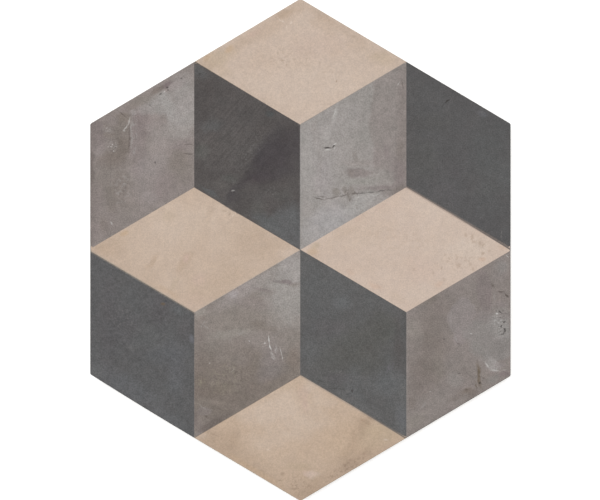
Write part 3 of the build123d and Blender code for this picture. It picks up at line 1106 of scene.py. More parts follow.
scrape(ink, (41.6, -56.5), (3.4, 0.8), 66, screen(112, 108, 114), 0.6)
scrape(ink, (43.6, -55.5), (2.8, 0.5), 70, screen(112, 108, 114), 0.5)
scrape(ink, (9.3, -62.7), (2.4, 0.5), -25, COAL_SHADE, 0.45)
charcoal_lower_mid = close_charcoal(ink)

# %% [markdown]
# The ash diamonds are the lit sides of the blocks, and the most worn: pale bloom, olive and brown
# stains, cracks, scratches and white specks of lime. Some of them are grainier than others.

# %% Ash palette
ASH_PALE = screen(160, 156, 153)
ASH_COOL = screen(153, 147, 144)
ASH_BLOOM = screen(147, 139, 137)
ASH_MAUVE = screen(138, 127, 125)
ASH_PLUM = screen(122, 110, 110)
ASH_MOSS = screen(133, 125, 118)
ASH_OLIVE = screen(122, 113, 105)
ASH_BROWN = screen(118, 108, 101)
ASH_UMBER = screen(108, 98, 92)
ASH_DARK = screen(84, 75, 69)
ASH_ROUGHNESS, ASH_GRAIN = 0.64, 0.03


def ash_texture(ink, grain):
    """The fine mottling that all ash diamonds share, some with more grain than others."""
    tone(ink, 10, 0.05, 6.0, 0.6)
    tone(ink, 2.5, 0.1 * grain, 4.0)
    tone(ink, 0.6, 0.2 * grain, 1.0)
    tint(ink, 10, (1.01, 0.996, 1.0), (0.992, 1.003, 0.994))


def close_ash(ink):
    """Wire up an ash diamond."""
    return close_ink(ink, ASH_ROUGHNESS, ASH_GRAIN)


print(f"ash: roughness about {ASH_ROUGHNESS}")

# %% [markdown]
# In the upper left one, an upright scrape parts brown and olive stains on the left from pale bloom on
# the right. Lime fills a curved scratch and two patches of pits, and soot specks follow the upper edge.
# A darker band down its left edge is painted shade, where the rounded arris falls away from the light.

# %% The upper left ash diamond
ink = open_ink("ash_upper_left", screen(143, 134, 130), screen(140, 131, 127), 9)
stain(ink, (-88, 54), (7.2, 12.5), 0, screen(128, 119, 113), 0.85, 0.3, 0.5)
stain(ink, (-84.3, 49), (3, 4.5), 0, ASH_BROWN, 0.5, 0.4, 0.5)
stain(ink, (-91, 43.5), (7, 2.6), 20, ASH_BROWN, 0.6)
stain(ink, (-84.4, 62.6), (3.2, 2.6), 10, ASH_OLIVE, 0.7, 0.4, 0.5)
stain(ink, (-96.5, 54), (3.4, 6), 0, ASH_PLUM, 0.45)
stain(ink, (-91, 50), (3, 3), 0, ASH_BLOOM, 0.4)
stain(ink, (-91.5, 57), (3, 2), 0, ASH_BLOOM, 0.4)
stain(ink, (-97, 47), (3, 2.5), 0, ASH_BLOOM, 0.3)
stain(ink, (-100.3, 38), (2, 8), 0, ASH_UMBER, 0.9)
stain(ink, (-91, 33), (8, 8), 0, screen(129, 121, 114), 0.55)
stain(ink, (-90, 24), (2.4, 6.5), 8, ASH_OLIVE, 0.55, 0.6)
stain(ink, (-96.5, 24), (2.4, 7), 0, ASH_MAUVE, 0.6)
stain(ink, (-93.2, 12), (1.8, 3.6), 12, ASH_OLIVE, 0.65)
stain(ink, (-97.5, 9), (2, 4), 0, ASH_MAUVE, 0.4)
stain(ink, (-77, 50), (3.8, 17), 0, ASH_MAUVE, 0.65, 0.4, 0.6)
stain(ink, (-75, 60), (4.2, 6.5), 0, screen(131, 120, 118), 0.65, 0.6)
stain(ink, (-75, 33), (6, 8), 0, screen(149, 140, 138), 0.5)
stain(ink, (-69, 59), (4, 5), 0, screen(148, 137, 134), 0.6)
stain(ink, (-64, 68.5), (10, 5.5), -12, screen(154, 149, 146), 0.9, 0.5)
stain(ink, (-56, 60), (7, 7), 0, screen(155, 150, 146), 0.85, 0.4)
stain(ink, (-61, 66), (2.4, 9), 28, screen(164, 160, 157), 0.6)
stain(ink, (-54.5, 72), (6.5, 10), 0, screen(156, 150, 147), 0.85)
stain(ink, (-68, 50), (5, 8), 10, screen(151, 142, 138), 0.65)
stain(ink, (-70, 40), (6, 6), 0, ASH_BLOOM, 0.4)
stain(ink, (-57, 49.5), (5, 2.4), 0, ASH_MAUVE, 0.6, 0.6)
stain(ink, (-56.5, 41.5), (5, 5), 0, ASH_OLIVE, 0.5)
stain(ink, (-55, 34), (4, 3), 0, ASH_MOSS, 0.5)
stain(ink, (-65, 30), (4.5, 8), -20, ASH_MAUVE, 0.7)
stain(ink, (-71.5, 25), (3.5, 4), 30, ASH_BLOOM, 0.45)
stain(ink, (-81, 67.5), (4, 1.6), 20, ASH_PLUM, 0.35)
stain(ink, (-76, 70.5), (8, 2.4), 31, ASH_MOSS, 0.7)
stain(ink, (-67, 76.3), (5, 1), 30, ASH_BROWN, 0.75)
stain(ink, (-63.2, 78.6), (2.8, 1.3), 30, ASH_PLUM, 0.85)
stain(ink, (-58, 79), (4, 2), 35, screen(151, 142, 140), 0.6)
stain(ink, (-84, 58.5), (2.8, 3), 0, screen(127, 119, 113), 0.6, 0.4, 0.5)
stain(ink, (-90, 61.5), (3.5, 2.5), 20, screen(140, 131, 128), 0.6)
stain(ink, (-94.5, 51.5), (2.5, 3), 0, screen(139, 129, 127), 0.5)
stain(ink, (-62, 55), (9, 6), 0, screen(151, 143, 140), 0.55)
stain(ink, (-73, 67), (4, 2.2), 10, screen(151, 144, 141), 0.7)
# Painted shade: a darker band along the left edge, where the rounded arris falls away from the light.
stain(ink, (-100.3, 30), (2.6, 34), 0, screen(116, 107, 104), 0.6)
stain(ink, (-92, 22), (9, 17), 0, screen(130, 121, 117), 0.42)
stain(ink, (-90, 9), (4, 4), 20, screen(130, 121, 117), 0.5)
stain(ink, (-57, 31), (8, 6), 0, screen(131, 122, 118), 0.55)
stain(ink, (-79.3, 65.3), (1.6, 1.2), 0, ASH_PALE, 0.4, 0.5)
stain(ink, (-58, 55), (8, 2.5), 0, screen(154, 147, 143), 0.6)
stain(ink, (-84, 26), (7, 9), 10, screen(130, 122, 115), 0.4)
stain(ink, (-98, 59), (4, 4), 0, screen(120, 111, 109), 0.5)
stain(ink, (-57, 38), (6, 3), 0, ASH_MOSS, 0.4)
stain(ink, (-87, 41), (7, 2.5), 10, ASH_BROWN, 0.35)
streaks(ink, (-85, 32), (10, 18), 0, 1.1, 0.08)
seam(ink, (-50.35, 60), 90, 0.24, screen(88, 84, 83), 1)
ash_texture(ink, 1.05)
nick(ink, (-83.9, 56.6), (0.8, 0.6), 0, LIME_SPECK, 0.4)
pits(ink, (-87, 50), (7, 14), 0, ASH_DARK, 0.3, 1.3)
pits(ink, (-85, 30), (7, 12), 0, ASH_PALE, 0.42, 1.3)
pits(ink, (-86, 29), (7, 11), 0, ASH_UMBER, 0.4, 1.2)
pits(ink, (-79.3, 56), (1.8, 12), 0, ASH_PALE, 0.6, 1.2)
pits(ink, (-89.4, 49.6), (2.2, 2.4), 0, LIME_SPECK, 0.6, 0.9)
pits(ink, (-91.5, 57.2), (2.8, 1.8), 0, LIME_SPECK, 0.4, 0.9)
scrape(ink, (-80.2, 55), (0.7, 10), 0, ASH_PALE, 0.6)
scrape(ink, (-81.2, 51), (0.6, 7), 0, ASH_DARK, 0.65)
scrape(ink, (-77, 62), (0.5, 5.5), 3, ASH_UMBER, 0.5)
scrape(ink, (-78.8, 47.5), (0.6, 3), -25, ASH_PALE, 0.5)
nick(ink, (-84.8, 64.6), (3.8, 0.45), -38, ASH_DARK, 0.6)
scrape(ink, (-83.5, 30), (0.5, 3), -25, ASH_DARK, 0.45)
nick(ink, (-81.4, 61.2), (0.4, 2.4), -12, LIME_SPECK, 0.42)
nick(ink, (-83, 58.2), (0.45, 2.4), -38, LIME_SPECK, 0.45)
nick(ink, (-81.3, 57.5), (0.4, 3.6), 0, ASH_DARK, 0.6)
nick(ink, (-88.7, 46.9), (0.5, 0.45), 0, LIME_SPECK, 0.6)
nick(ink, (-63.3, 77), (0.8, 0.5), 20, SOOT_SPECK, 0.85)
nick(ink, (-66.5, 74), (1.1, 0.6), 40, SOOT_SPECK, 0.7)
nick(ink, (-62.8, 75.8), (0.6, 0.5), 0, SOOT_SPECK, 0.6)
nick(ink, (-64.6, 75.2), (0.7, 0.4), 60, LIME_SPECK, 0.55)
nick(ink, (-56.6, 81.5), (0.7, 0.5), 0, SOOT_SPECK, 0.7)
nick(ink, (-55.5, 82.5), (0.5, 0.4), 0, SOOT_SPECK, 0.5)
nick(ink, (-71.5, 68.8), (0.7, 0.6), 0, SOOT_SPECK, 0.5)
nick(ink, (-69.1, 41.5), (0.4, 0.8), 0, SOOT_SPECK, 0.85)
nick(ink, (-53.2, 50.2), (2.6, 0.35), 0, ASH_DARK, 0.55)
nick(ink, (-53.6, 45.6), (2.9, 0.45), -3, ASH_DARK, 0.6)
nick(ink, (-52.8, 40.2), (2, 0.35), 0, ASH_DARK, 0.35)
scrape(ink, (-89.8, 12.8), (1.6, 0.6), -45, LIME_SPECK, 0.5)
ash_upper_left = close_ash(ink)

# %% [markdown]
# The upper middle one is the palest, with a darker strip down its right side. The long crack near its
# bottom is a chain of short nicks, and a short dark nick edged with lime lies above it.

# %% The upper middle ash diamond
ink = open_ink("ash_upper_mid", screen(155.5, 150, 146.5), screen(152.5, 147, 143), 10)
stain(ink, (4, 44), (6, 18), 0, ASH_PALE, 0.5)
stain(ink, (11, 35), (4, 9), 0, screen(160, 152, 152), 0.7)
stain(ink, (14, 13.5), (12, 6), 28, screen(166, 162, 162), 0.75)
stain(ink, (7, 7), (6, 4), 30, screen(165, 160, 158), 0.5)
stain(ink, (28, 21.8), (7, 3), 30, screen(168, 164, 161), 0.65)
stain(ink, (2, 22), (2, 7), 0, ASH_COOL, 0.5)
stain(ink, (29, 60), (5, 19), 0, screen(146, 141, 137), 0.6, 0.7)
stain(ink, (46.5, 60), (13.5, 40), 0, screen(141, 133, 129), 0.85, 0.12, 0.2)
stain(ink, (49.5, 60), (3.5, 30), 0, screen(128, 118, 114), 0.45)
stain(ink, (46.5, 37), (3.8, 7.5), 5, ASH_PLUM, 0.4, 0.7)
stain(ink, (47.5, 48), (1.8, 4.5), 0, ASH_OLIVE, 0.3)
stain(ink, (41, 46), (1.2, 4), 12, screen(132, 120, 120), 0.5)
stain(ink, (35, 33), (9, 5), 0, screen(151, 145, 141), 0.85, 0.5)
stain(ink, (28, 41.3), (8, 1.8), 0, screen(151, 142, 138), 0.6)
stain(ink, (28, 36.8), (7, 2.1), 0, screen(136, 127, 124), 0.85, 0.6)
stain(ink, (23.8, 37.2), (1.8, 1.8), 0, ASH_BROWN, 0.25)
stain(ink, (29, 32.4), (8, 1.4), 3, screen(150, 147, 141), 0.6)
stain(ink, (7, 57), (1.5, 7), 0, ASH_MOSS, 0.25)
stain(ink, (9, 43), (1, 8), 0, ASH_MOSS, 0.3)
stain(ink, (26, 44.5), (1.3, 3), 0, ASH_MOSS, 0.4)
stain(ink, (17, 27.6), (1.7, 2), 0, screen(120, 113, 103), 0.65, 0.7)
stain(ink, (36.5, 29.4), (6.5, 0.9), 3, ASH_PLUM, 0.5)
stain(ink, (42.5, 29.6), (3, 1), 8, ASH_MAUVE, 0.3)
stain(ink, (29, 28.5), (3.5, 1), 0, ASH_MAUVE, 0.2)
stain(ink, (16.6, 64), (0.9, 4), -8, LIME_SPECK, 0.14)
stain(ink, (12.6, 54.5), (1.3, 4), -8, LIME_SPECK, 0.12)
stain(ink, (13, 44), (8, 21), 0, screen(161, 155, 152.5), 0.42)
stain(ink, (47, 28.5), (3.5, 1.7), 31, screen(128, 119, 114), 0.85)
stain(ink, (36.5, 44), (2.6, 4), 0, screen(141, 132, 129), 0.6)
stain(ink, (42, 43.5), (2, 5), 0, screen(147, 138, 135), 0.5)
stain(ink, (41, 32.5), (3, 1.6), 0, screen(154, 147, 143), 0.6)
stain(ink, (21.3, 28), (1, 2.4), 15, ASH_OLIVE, 0.45, 0.7)
stain(ink, (24.5, 28.4), (1.5, 1.8), 0, ASH_OLIVE, 0.4, 0.7)
stain(ink, (23.3, 25.4), (0.9, 2.2), 10, ASH_OLIVE, 0.3, 0.7)
stain(ink, (24, 63), (5, 5), 0, screen(156, 151, 148), 0.5)
stain(ink, (45, 86), (2.5, 1.6), 31, screen(132, 125, 121), 0.5)
streaks(ink, (8, 40), (12, 28), 0, 1.1, 0.04)
ash_texture(ink, 0.88)
scrape(ink, (16.2, 65.3), (0.4, 2.8), -8, LIME_SPECK, 0.5)
nick(ink, (12.9, 48.5), (2.3, 0.5), -3, SOOT_SPECK, 1.0)
nick(ink, (15.8, 49.2), (1.4, 0.4), 38, SOOT_SPECK, 0.9)
nick(ink, (16.3, 50.2), (1.2, 0.35), 38, LIME_SPECK, 0.8)
nick(ink, (13, 47.5), (2, 0.35), -3, LIME_SPECK, 0.55)
nick(ink, (16.3, 48.4), (1, 0.3), 38, LIME_SPECK, 0.5)
nick(ink, (9, 24.3), (3, 0.4), -15, ASH_DARK, 0.75)
nick(ink, (10.5, 25.2), (3, 0.35), -6, ASH_DARK, 0.55)
nick(ink, (13.2, 24.3), (2, 0.3), 5, ASH_DARK, 0.45)
nick(ink, (16, 25), (4, 0.45), 12, ASH_DARK, 0.55)
nick(ink, (20.6, 25.8), (2.5, 0.4), 14, ASH_DARK, 0.55)
nick(ink, (22.8, 26), (0.5, 2.8), 12, ASH_DARK, 0.4)
nick(ink, (23.6, 24), (0.4, 1.3), 0, ASH_DARK, 0.45)
nick(ink, (25.6, 26.7), (2, 0.45), 5, ASH_DARK, 0.6)
nick(ink, (29, 26.9), (3, 0.5), 6, SOOT_SPECK, 0.5)
nick(ink, (33.5, 27.3), (2.6, 0.5), 2, SOOT_SPECK, 0.5)
nick(ink, (38.3, 28.1), (3, 0.5), 10, SOOT_SPECK, 0.5)
nick(ink, (42.3, 28.5), (2.4, 0.45), 0, SOOT_SPECK, 0.35)
pits(ink, (24, 27.3), (6, 2.2), 5, ASH_DARK, 0.55, 1.1)
scrape(ink, (27.5, 24.9), (3.4, 0.7), 10, LIME_SPECK, 0.35)
scrape(ink, (35, 26.2), (3.8, 0.6), 10, LIME_SPECK, 0.3)
scrape(ink, (26.5, 21), (0.5, 2.5), 30, ASH_MOSS, 0.5)
nick(ink, (46.7, 79), (0.3, 1.6), -25, LIME_SPECK, 0.3)
nick(ink, (48.6, 78.5), (0.4, 2.4), 10, ASH_DARK, 0.5)
ash_upper_mid = close_ash(ink)

# %% [markdown]
# The lower middle one goes from pale bloom at the top to brown at the bottom, and a fan of white
# scratches lies right of its middle.

# %% The lower middle ash diamond
ink = open_ink("ash_lower_mid", screen(140, 131.5, 126), screen(136, 127.5, 121.5), 11)
stain(ink, (-28, -64), (32, 17), 15, screen(122, 112, 104), 0.75, 0.8)
stain(ink, (-34, -74), (20, 6), 30, ASH_BROWN, 0.45)
stain(ink, (-26, -79), (26, 2.4), JOINT_SLOPE, ASH_DARK, 0.4)
stain(ink, (-5, -20), (11, 17), -8, screen(156, 151, 147), 0.9, 0.6)
stain(ink, (-3, -7), (6, 7), 20, screen(161, 155, 152), 0.85)
stain(ink, (-20, -15.5), (10, 3.4), 31, screen(155, 148, 144), 0.8)
stain(ink, (-31, -21.5), (12, 3.6), 31, screen(154, 145, 142), 0.8)
stain(ink, (-32, -21.4), (2.4, 1.5), 20, screen(168, 160, 160), 0.7)
stain(ink, (-47.5, -29.7), (4, 2.2), 25, screen(156, 148, 142), 0.9)
stain(ink, (-47, -32), (1.6, 1.2), 0, screen(142, 126, 119), 0.4)
stain(ink, (-22, -26), (8, 2.4), -8, ASH_MAUVE, 0.4)
stain(ink, (-28, -33), (19, 6), -2, screen(138, 130, 123), 0.5)
stain(ink, (-20.5, -35), (3.6, 1.5), 0, ASH_OLIVE, 0.55)
stain(ink, (-17, -37.5), (5, 1), 0, ASH_OLIVE, 0.3)
stain(ink, (-33, -40), (9, 2), 6, screen(147, 141, 134), 0.6)
stain(ink, (-48, -44), (3, 9), 0, screen(126, 117, 112), 0.65)
stain(ink, (-13, -51), (5, 9), -10, screen(136, 128, 126), 0.65)
stain(ink, (-14, -59), (8, 3), 20, screen(128, 120, 117), 0.5)
stain(ink, (-3, -51), (2.6, 6.5), 0, screen(128, 116, 108), 0.6)
stain(ink, (-2, -39), (2.4, 3), 0, ASH_MOSS, 0.25)
stain(ink, (-46, -77), (3.2, 2.4), 0, screen(133, 124, 121), 0.6, 0.3, 0.6)
stain(ink, (-48.5, -82.5), (2, 3), 0, ASH_MAUVE, 0.2, 0.5)
stain(ink, (-42, -72.3), (9, 0.9), -10, screen(137, 127, 119), 0.5)
stain(ink, (-36, -75), (8, 0.8), -4, screen(130, 120, 113), 0.3)
stain(ink, (-7, -15.4), (3, 1), -12, ASH_PLUM, 0.65)
stain(ink, (-12, -14.6), (2.4, 0.7), -5, ASH_PLUM, 0.35)
stain(ink, (-2.5, -16.8), (2.2, 0.9), 0, ASH_OLIVE, 0.45)
stain(ink, (-18, -19.2), (4.5, 0.8), -12, ASH_PLUM, 0.45)
stain(ink, (-47, -62.5), (2.8, 2.4), 0, screen(116, 106, 95), 0.6)
stain(ink, (-37, -66), (5, 2.6), 0, screen(120, 111, 100), 0.5)
stain(ink, (-46, -56), (6, 8), 0, screen(119, 109, 102), 0.62)
stain(ink, (-45, -68), (6, 3), 0, screen(115, 104, 97), 0.6)
stain(ink, (-42, -83), (8, 2.4), 31, screen(106, 97, 92), 0.85)
stain(ink, (-19, -43), (7, 4), 0, screen(146, 138, 134), 0.5)
stain(ink, (-6, -43), (5, 5), 0, screen(142, 134, 128), 0.5)
stain(ink, (-29, -52.5), (5, 3), 0, screen(135, 126, 121), 0.5)
stain(ink, (-4, -63), (4, 1.2), 31, screen(122, 113, 106), 0.6)
stain(ink, (-42, -27), (3.4, 1.4), 31, screen(133, 124, 119), 0.55)
stain(ink, (-50.5, -80), (1.6, 4), 0, screen(114, 104, 101), 0.5)
stain(ink, (-48.5, -87.2), (2, 1), 31, screen(138, 130, 127), 0.7)
stain(ink, (-28, -66), (4, 3), 0, screen(129, 119, 112), 0.5)
stain(ink, (-50.5, -65), (2.2, 6), 0, screen(114, 104, 97), 0.5)
seam(ink, (0, -30), 90, 0.2, screen(98, 96, 95), 0.8)
ash_texture(ink, 1.0)
scrape(ink, (-44.5, -79.8), (3.5, 0.6), -8, ASH_DARK, 0.6)
scrape(ink, (-38, -76), (4, 0.5), -6, ASH_DARK, 0.4)
pits(ink, (-47, -62.5), (3, 3), 0, screen(150, 143, 126), 0.5, 1.3)
pits(ink, (-33, -57), (3, 2.5), 0, screen(152, 146, 132), 0.5, 1.2)
pits(ink, (-36, -61), (15, 11), 20, screen(146, 138, 124), 0.36, 1.4)
pits(ink, (-33, -40.5), (11, 3), 5, ASH_PALE, 0.4, 1.5)
pits(ink, (-46, -35), (3, 4), 0, ASH_PALE, 0.45, 1.3)
pits(ink, (-30, -62), (18, 12), 20, ASH_DARK, 0.28, 1.3)
nick(ink, (-15, -42.6), (2.3, 0.35), -85, LIME_SPECK, 0.75)
nick(ink, (-14.4, -46.2), (2.2, 0.4), -72, LIME_SPECK, 0.75)
scrape(ink, (-12.8, -50), (3, 1.2), -62, LIME_SPECK, 0.4)
scrape(ink, (-11.5, -47), (2.6, 0.7), -75, LIME_SPECK, 0.3)
nick(ink, (-9.3, -48.2), (2.4, 0.25), -77, LIME_SPECK, 0.55)
scrape(ink, (-8.6, -51.5), (2.2, 0.35), -72, LIME_SPECK, 0.45)
nick(ink, (-17, -44.5), (0.7, 0.5), 0, LIME_SPECK, 0.6)
nick(ink, (-24.3, -43.5), (0.5, 0.45), 0, LIME_SPECK, 0.5)
nick(ink, (-43.2, -53.8), (0.6, 0.45), 0, LIME_SPECK, 0.28)
scrape(ink, (-32.1, -57), (1.4, 0.4), 50, LIME_SPECK, 0.3)
scrape(ink, (-44.9, -36.6), (2.4, 0.5), -50, LIME_SPECK, 0.25)
scrape(ink, (-46.8, -74.6), (3, 0.6), -35, LIME_SPECK, 0.2)
ash_lower_mid = close_ash(ink)

# %% [markdown]
# The lower right one has sharp-edged pale patches in its upper half, a crust of dark crumbs at the
# right edge, and below it a white curl and a brown run.

# %% The lower right ash diamond
ink = open_ink("ash_lower_right", screen(138.5, 130, 126), screen(135, 126.5, 122), 12)
stain(ink, (62, -48), (7.5, 22), -4, screen(124, 115, 109), 0.65)
stain(ink, (59, -57), (4.5, 6), 0, ASH_UMBER, 0.2)
stain(ink, (61, -44), (5, 3.5), 0, ASH_UMBER, 0.18)
stain(ink, (68, -27), (7, 7), 0, screen(127, 118, 113), 0.5)
stain(ink, (53.5, -38), (4, 4.5), 0, screen(145, 137, 131), 0.8)
stain(ink, (77.5, -32.5), (6.2, 10), 4, screen(142, 134, 132), 0.8, 0.16, 0.3)
stain(ink, (75.5, -42), (2.8, 3), 20, screen(145, 136, 134), 0.85, 0.3)
stain(ink, (87.5, -20), (3.6, 10), 4, screen(131, 120, 119), 0.6, 0.3, 0.5)
stain(ink, (91, -42), (11.5, 11), -30, screen(138, 133, 130), 0.85, 0.2, 0.6)
stain(ink, (84, -46), (4, 2), -42, screen(142, 137, 133), 0.6)
stain(ink, (95, -36), (5, 8), 0, screen(149, 145, 142), 0.7, 0.7)
stain(ink, (95, -46), (4, 3), 0, screen(130, 125, 122), 0.5)
stain(ink, (87, -31), (4, 3), 0, screen(137, 128, 126), 0.6)
stain(ink, (95, -26), (4.5, 1.6), 0, screen(141, 132, 130), 0.6)
stain(ink, (95, -11), (4, 4), 0, screen(139, 131, 128), 0.6)
stain(ink, (91.4, -54.8), (3.9, 2.6), -18, screen(156, 151, 148), 0.9, 0.4, 0.6)
stain(ink, (95, -55), (2, 1.5), 0, screen(148, 139, 137), 0.7)
stain(ink, (72, -55), (4, 6), 0, screen(139, 131, 127), 0.5)
stain(ink, (66, -55), (2.6, 9), 0, ASH_MOSS, 0.5)
stain(ink, (68, -67), (5, 4), 30, screen(139, 131, 127), 0.6)
stain(ink, (73.5, -61.5), (3.6, 3.6), 0, screen(139, 134, 130), 0.6)
stain(ink, (88, -59), (2.4, 2.4), 0, ASH_MOSS, 0.4)
stain(ink, (91.5, -61.5), (3, 1.5), 31, screen(140, 135, 131), 0.7)
stain(ink, (97.5, -59), (3, 1.1), 20, ASH_PLUM, 0.6)
stain(ink, (60, -76), (9, 4.5), 35, screen(139, 131, 127), 0.5)
stain(ink, (55, -81), (5, 2.6), 30, screen(141, 134, 127), 0.6)
stain(ink, (53, -73), (2, 3.2), 0, ASH_BROWN, 0.4)
stain(ink, (75, -69.5), (5, 1.3), 31, ASH_BROWN, 0.35)
stain(ink, (79.5, -67), (2.2, 1), 30, screen(118, 105, 92), 0.45)
stain(ink, (96, -8), (3, 2.6), 0, screen(146, 140, 137), 0.8)
stain(ink, (86, -8.5), (4, 1.6), 31, screen(130, 120, 116), 0.6)
stain(ink, (81, -39), (2.6, 4), 0, screen(145, 138, 135), 0.6)
stain(ink, (91, -38), (2.6, 3), 0, screen(144, 138, 135), 0.5)
stain(ink, (56, -43.5), (2.4, 3), 0, screen(136, 128, 123), 0.6)
stain(ink, (54.5, -65), (4.5, 5), 0, screen(121, 112, 107), 0.6)
stain(ink, (81.5, -68), (2.6, 1.6), 31, screen(118, 108, 102), 0.7)
stain(ink, (70.5, -77.5), (3.5, 1.6), 31, screen(130, 121, 118), 0.6)
stain(ink, (61, -23.5), (4, 2), 31, screen(124, 115, 107), 0.5)
stain(ink, (84.9, -59.5), (0.9, 5.5), 6, screen(112, 98, 82), 0.6, 0.8)
stain(ink, (97, -31), (3, 1.8), 0, screen(128, 120, 117), 0.55)
stain(ink, (81.5, -71), (3, 1.4), 31, screen(120, 111, 107), 0.5)
stain(ink, (88.5, -52), (3, 2), -20, screen(147, 142, 139), 0.5)
streaks(ink, (57, -78), (9, 9), -48, 1.2, 0.08)
seam(ink, (50.5, -45), 90, 0.6, screen(142, 136, 133), 0.4)
ash_texture(ink, 1.03)
nick(ink, (98.3, -3), (1.3, 0.3), -50, LIME_SPECK, 0.5)
nick(ink, (75.4, -44.6), (2, 0.3), -20, ASH_UMBER, 0.5)
scrape(ink, (71.6, -33), (0.5, 5), 0, ASH_PALE, 0.35)
scrape(ink, (73.6, -42), (0.5, 2.6), 25, ASH_PALE, 0.5)
scrape(ink, (81.5, -49), (6, 0.6), -42, ASH_PALE, 0.4)
scrape(ink, (82, -43.5), (0.5, 3), 20, ASH_PALE, 0.35)
pits(ink, (96.5, -36), (3.2, 6), 5, SOOT_SPECK, 0.8, 1.1)
pits(ink, (94.8, -29.5), (4.5, 1.5), -10, SOOT_SPECK, 0.8, 1.0)
pits(ink, (94.5, -35), (4.5, 6), 10, LIME_SPECK, 0.3, 1.0)
pits(ink, (93, -46), (6, 3.5), 0, ASH_DARK, 0.3, 1.0)
nick(ink, (93.6, -30.4), (0.8, 0.6), 0, LIME_SPECK, 0.75)
nick(ink, (96, -40), (1.6, 0.4), 10, SOOT_SPECK, 0.6)
nick(ink, (88.7, -54.8), (2.1, 0.45), -58, LIME_SPECK, 0.5)
nick(ink, (92.5, -57.3), (3, 0.35), -4, LIME_SPECK, 0.4)
nick(ink, (97, -57), (1.6, 0.3), 8, LIME_SPECK, 0.3)
scrape(ink, (88.5, -50), (0.5, 3), -10, ASH_PALE, 0.5)
nick(ink, (95.4, -19.9), (2.2, 0.5), -8, ASH_DARK, 0.75)
nick(ink, (98.1, -21.8), (1.7, 0.6), -50, ASH_DARK, 0.8)
scrape(ink, (91.5, -17), (1.8, 0.8), -30, ASH_DARK, 0.6)
scrape(ink, (92.4, -22), (0.4, 3.5), 5, ASH_PALE, 0.4)
scrape(ink, (84.8, -59), (0.7, 6), 6, screen(98, 86, 70), 0.8)
scrape(ink, (83.8, -64.5), (0.6, 2.5), 12, screen(98, 86, 70), 0.7)
nick(ink, (85.3, -63.3), (0.8, 0.7), 0, SOOT_SPECK, 0.75)
nick(ink, (87.2, -61), (0.7, 0.6), 0, ASH_DARK, 0.5)
nick(ink, (75.6, -58.8), (1, 0.5), 0, SOOT_SPECK, 0.5)
nick(ink, (79, -66.4), (1, 0.7), -15, ASH_DARK, 0.6)
nick(ink, (68.2, -42.4), (0.6, 0.5), 0, SOOT_SPECK, 0.5)
nick(ink, (81.1, -39.9), (0.8, 0.35), 0, LIME_SPECK, 0.4)
scrape(ink, (75.5, -45), (1.9, 0.4), -25, SOOT_SPECK, 0.35)
nick(ink, (61.8, -67.3), (0.6, 0.5), 0, LIME_SPECK, 0.22)
scrape(ink, (58.5, -74), (2, 0.6), 50, ASH_PALE, 0.45)
ash_lower_right = close_ash(ink)

# %% [markdown]
# Below the print the fired body shows: a pale warm porcelain with dark iron specks. The press drags
# fine upright lines down its sides, the white ground coat under the print runs over the top of the
# edge in an uneven line, and kiln dust stays on the crests of the back. One material does all this,
# because height above the floor tells the zones apart.

# %% The fired body
BODY_PALE = screen(206, 198, 186)
BODY_DEEP = screen(194, 185, 171)
BODY_IRON = screen(132, 110, 90)
GROUND_COAT = screen(224, 219, 210)
KILN_DUST = screen(226, 222, 214)
BODY_ROUGHNESS, BODY_GRAIN = 0.8, 0.03
COAT_LINE, DUST_LINE = 8.0, 0.25  # millimetres above the floor
COAT_BLUR, COAT_COVER = 0.1, 0.9  # millimetres to both sides of the line, and how much it hides
SPECK_STEP, SPECK_EDGE, SPECK_COVER = 4, (0.05, 0.12), 0.6  # millimetres, and shares of that step
PRESS_LINE = (1, 1, 25)  # the press draws its lines out upright
DUST_SIZE, DUST_EDGE, DUST_COVER = 7, (0.4, 0.62), 0.8

ink = open_ink("fired_body", BODY_PALE, BODY_DEEP, 13)
tone(ink, 5, 0.04)
tone(ink, 1.6, 0.05, 3.0, 0.5, PRESS_LINE)
tone(ink, 0.5, 0.06, 2.0)
speckle = add_node(ink.tree, "ShaderNodeTexVoronoi", {
    "Vector": ink.field, "Scale": 1 / (SPECK_STEP * MM),
})
lay(ink, between(ink, speckle.outputs["Distance"], *SPECK_EDGE, SPECK_COVER, 0), BODY_IRON)
height = add_node(ink.tree, "ShaderNodeSeparateXYZ", {0: ink.wander}).outputs["Z"]
coat_low, coat_high = (COAT_LINE - COAT_BLUR) * MM, (COAT_LINE + COAT_BLUR) * MM
lay(ink, between(ink, height, coat_low, coat_high, 0, COAT_COVER), GROUND_COAT)
level = add_node(ink.tree, "ShaderNodeSeparateXYZ", {0: ink.place}).outputs["Z"]
low = between(ink, level, 0, DUST_LINE * MM, 1, 0)
patches = between(ink, noise(ink, DUST_SIZE, 5.0), *DUST_EDGE, 0, DUST_COVER)
lay(ink, sum_of(ink, "MULTIPLY", low, patches), KILN_DUST)
fired_body = close_ink(ink, BODY_ROUGHNESS, BODY_GRAIN)

# %% [markdown]
# Now every face gets its ink. The body comes first and covers all. Then the face and its arris are
# shared out: a diamond is measured in steps of the lattice, so that its rim lies at 1, and a face
# belongs to the diamond that it lies deepest in.

# %% Lay the inks on the face
SAND, ASH, CHARCOAL = "sand", "ash", "charcoal"
DIAMONDS = [
    (SAND, 0, 3, sand_top), (SAND, -1, 0, sand_left), (SAND, 1, 0, sand_right), (SAND, 0, -3, sand_bottom),
    (CHARCOAL, -0.5, 1.5, charcoal_upper_mid), (CHARCOAL, 1.5, 1.5, charcoal_upper_right),
    (CHARCOAL, -1.5, -1.5, charcoal_lower_left), (CHARCOAL, 0.5, -1.5, charcoal_lower_mid),
    (ASH, -1.5, 1.5, ash_upper_left), (ASH, 0.5, 1.5, ash_upper_mid),
    (ASH, -0.5, -1.5, ash_lower_mid), (ASH, 1.5, -1.5, ash_lower_right),
]


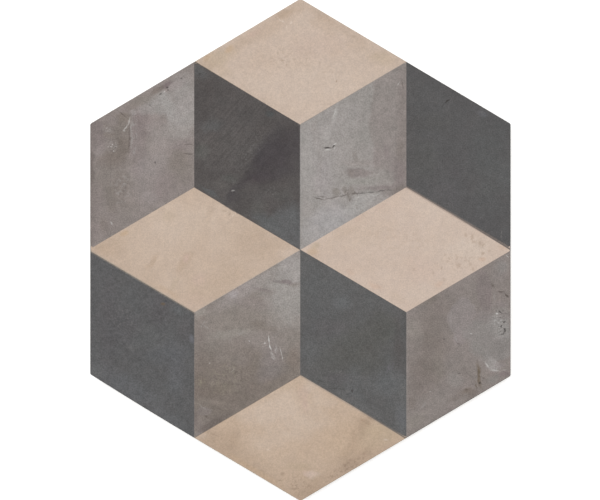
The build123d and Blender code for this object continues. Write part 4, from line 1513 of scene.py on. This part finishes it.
def reach(diamond, place):
    """How far a place lies from a diamond's middle, where 1 is the diamond's rim."""
    tone_name, column, row, _ = diamond
    across = place.x / COLUMN - column
    along = place.y / HALF_ROW - row
    if tone_name == SAND:
        return abs(across) + abs(along)
    lean = across if tone_name == ASH else -across
    return max(2 * abs(across), abs(along - lean))


def nearest_diamond(place):
    """The number of the diamond that a place lies deepest in."""
    reaches = [reach(diamond, place) for diamond in DIAMONDS]
    return reaches.index(min(reaches))


for material in [fired_body] + [diamond[3] for diamond in DIAMONDS]:
    tile.data.materials.append(material)
bpy.ops.object.mode_set(mode="EDIT")
for number in range(len(DIAMONDS)):
    tile.active_material_index = number + 1
    faces = pick(tile, "FACE", lambda f: all(v.co.z > face_level for v in f.verts)
                 and nearest_diamond(middle(f)) == number)
    bpy.ops.object.material_slot_assign()
    print(f"{DIAMONDS[number][3].name}: {faces} faces")
bpy.ops.object.mode_set(mode="OBJECT")

# %% [markdown]
# When the tile is exported, its inks are painted onto one square sheet that is wrapped round the mesh.
# Left to itself, Blender gives half of that sheet to the small cells of the back. This map gives most
# of it to the face: the face is laid flat with its sides folded out round it, and the back lies beside
# it at a smaller scale.

# %% A sheet for the bake
FACE_SCALE, BACK_SCALE = 3.2, 1.42  # shares of the sheet's width to a metre of tile
SHEET_MARGIN = 0.006
FOLDED_HALF = HALF_WIDTH + THICKNESS  # half the width of the face with its sides folded out


def folded_out(vertex):
    """Where a vertex lies when the sides are folded out round the face."""
    drop = THICKNESS - vertex.co.z
    if drop < 2 * RELIEF:
        return vertex.co.xy
    return vertex.co.xy + vertex.normal.xy.normalized() * drop


mesh = tile.data
sheet = mesh.uv_layers.new(name="OFBake")
face_middle = SHEET_MARGIN + FOLDED_HALF * FACE_SCALE
back_middle = 1 - SHEET_MARGIN - HALF_WIDTH * BACK_SCALE
for polygon in mesh.polygons:
    on_back = all(mesh.vertices[number].co.z < MM for number in polygon.vertices)
    for corner in polygon.loop_indices:
        vertex = mesh.vertices[mesh.loops[corner].vertex_index]
        if on_back:
            spot = (back_middle - vertex.co.x * BACK_SCALE, 0.5 + vertex.co.y * BACK_SCALE)
        else:
            flat = folded_out(vertex)
            spot = (face_middle + flat.x * FACE_SCALE, 0.5 + flat.y * FACE_SCALE)
        sheet.data[corner].uv = spot
across_sheet = [spot.uv.x for spot in sheet.data]
print(f"sheet: used from {min(across_sheet):.3f} to {max(across_sheet):.3f} of its width")
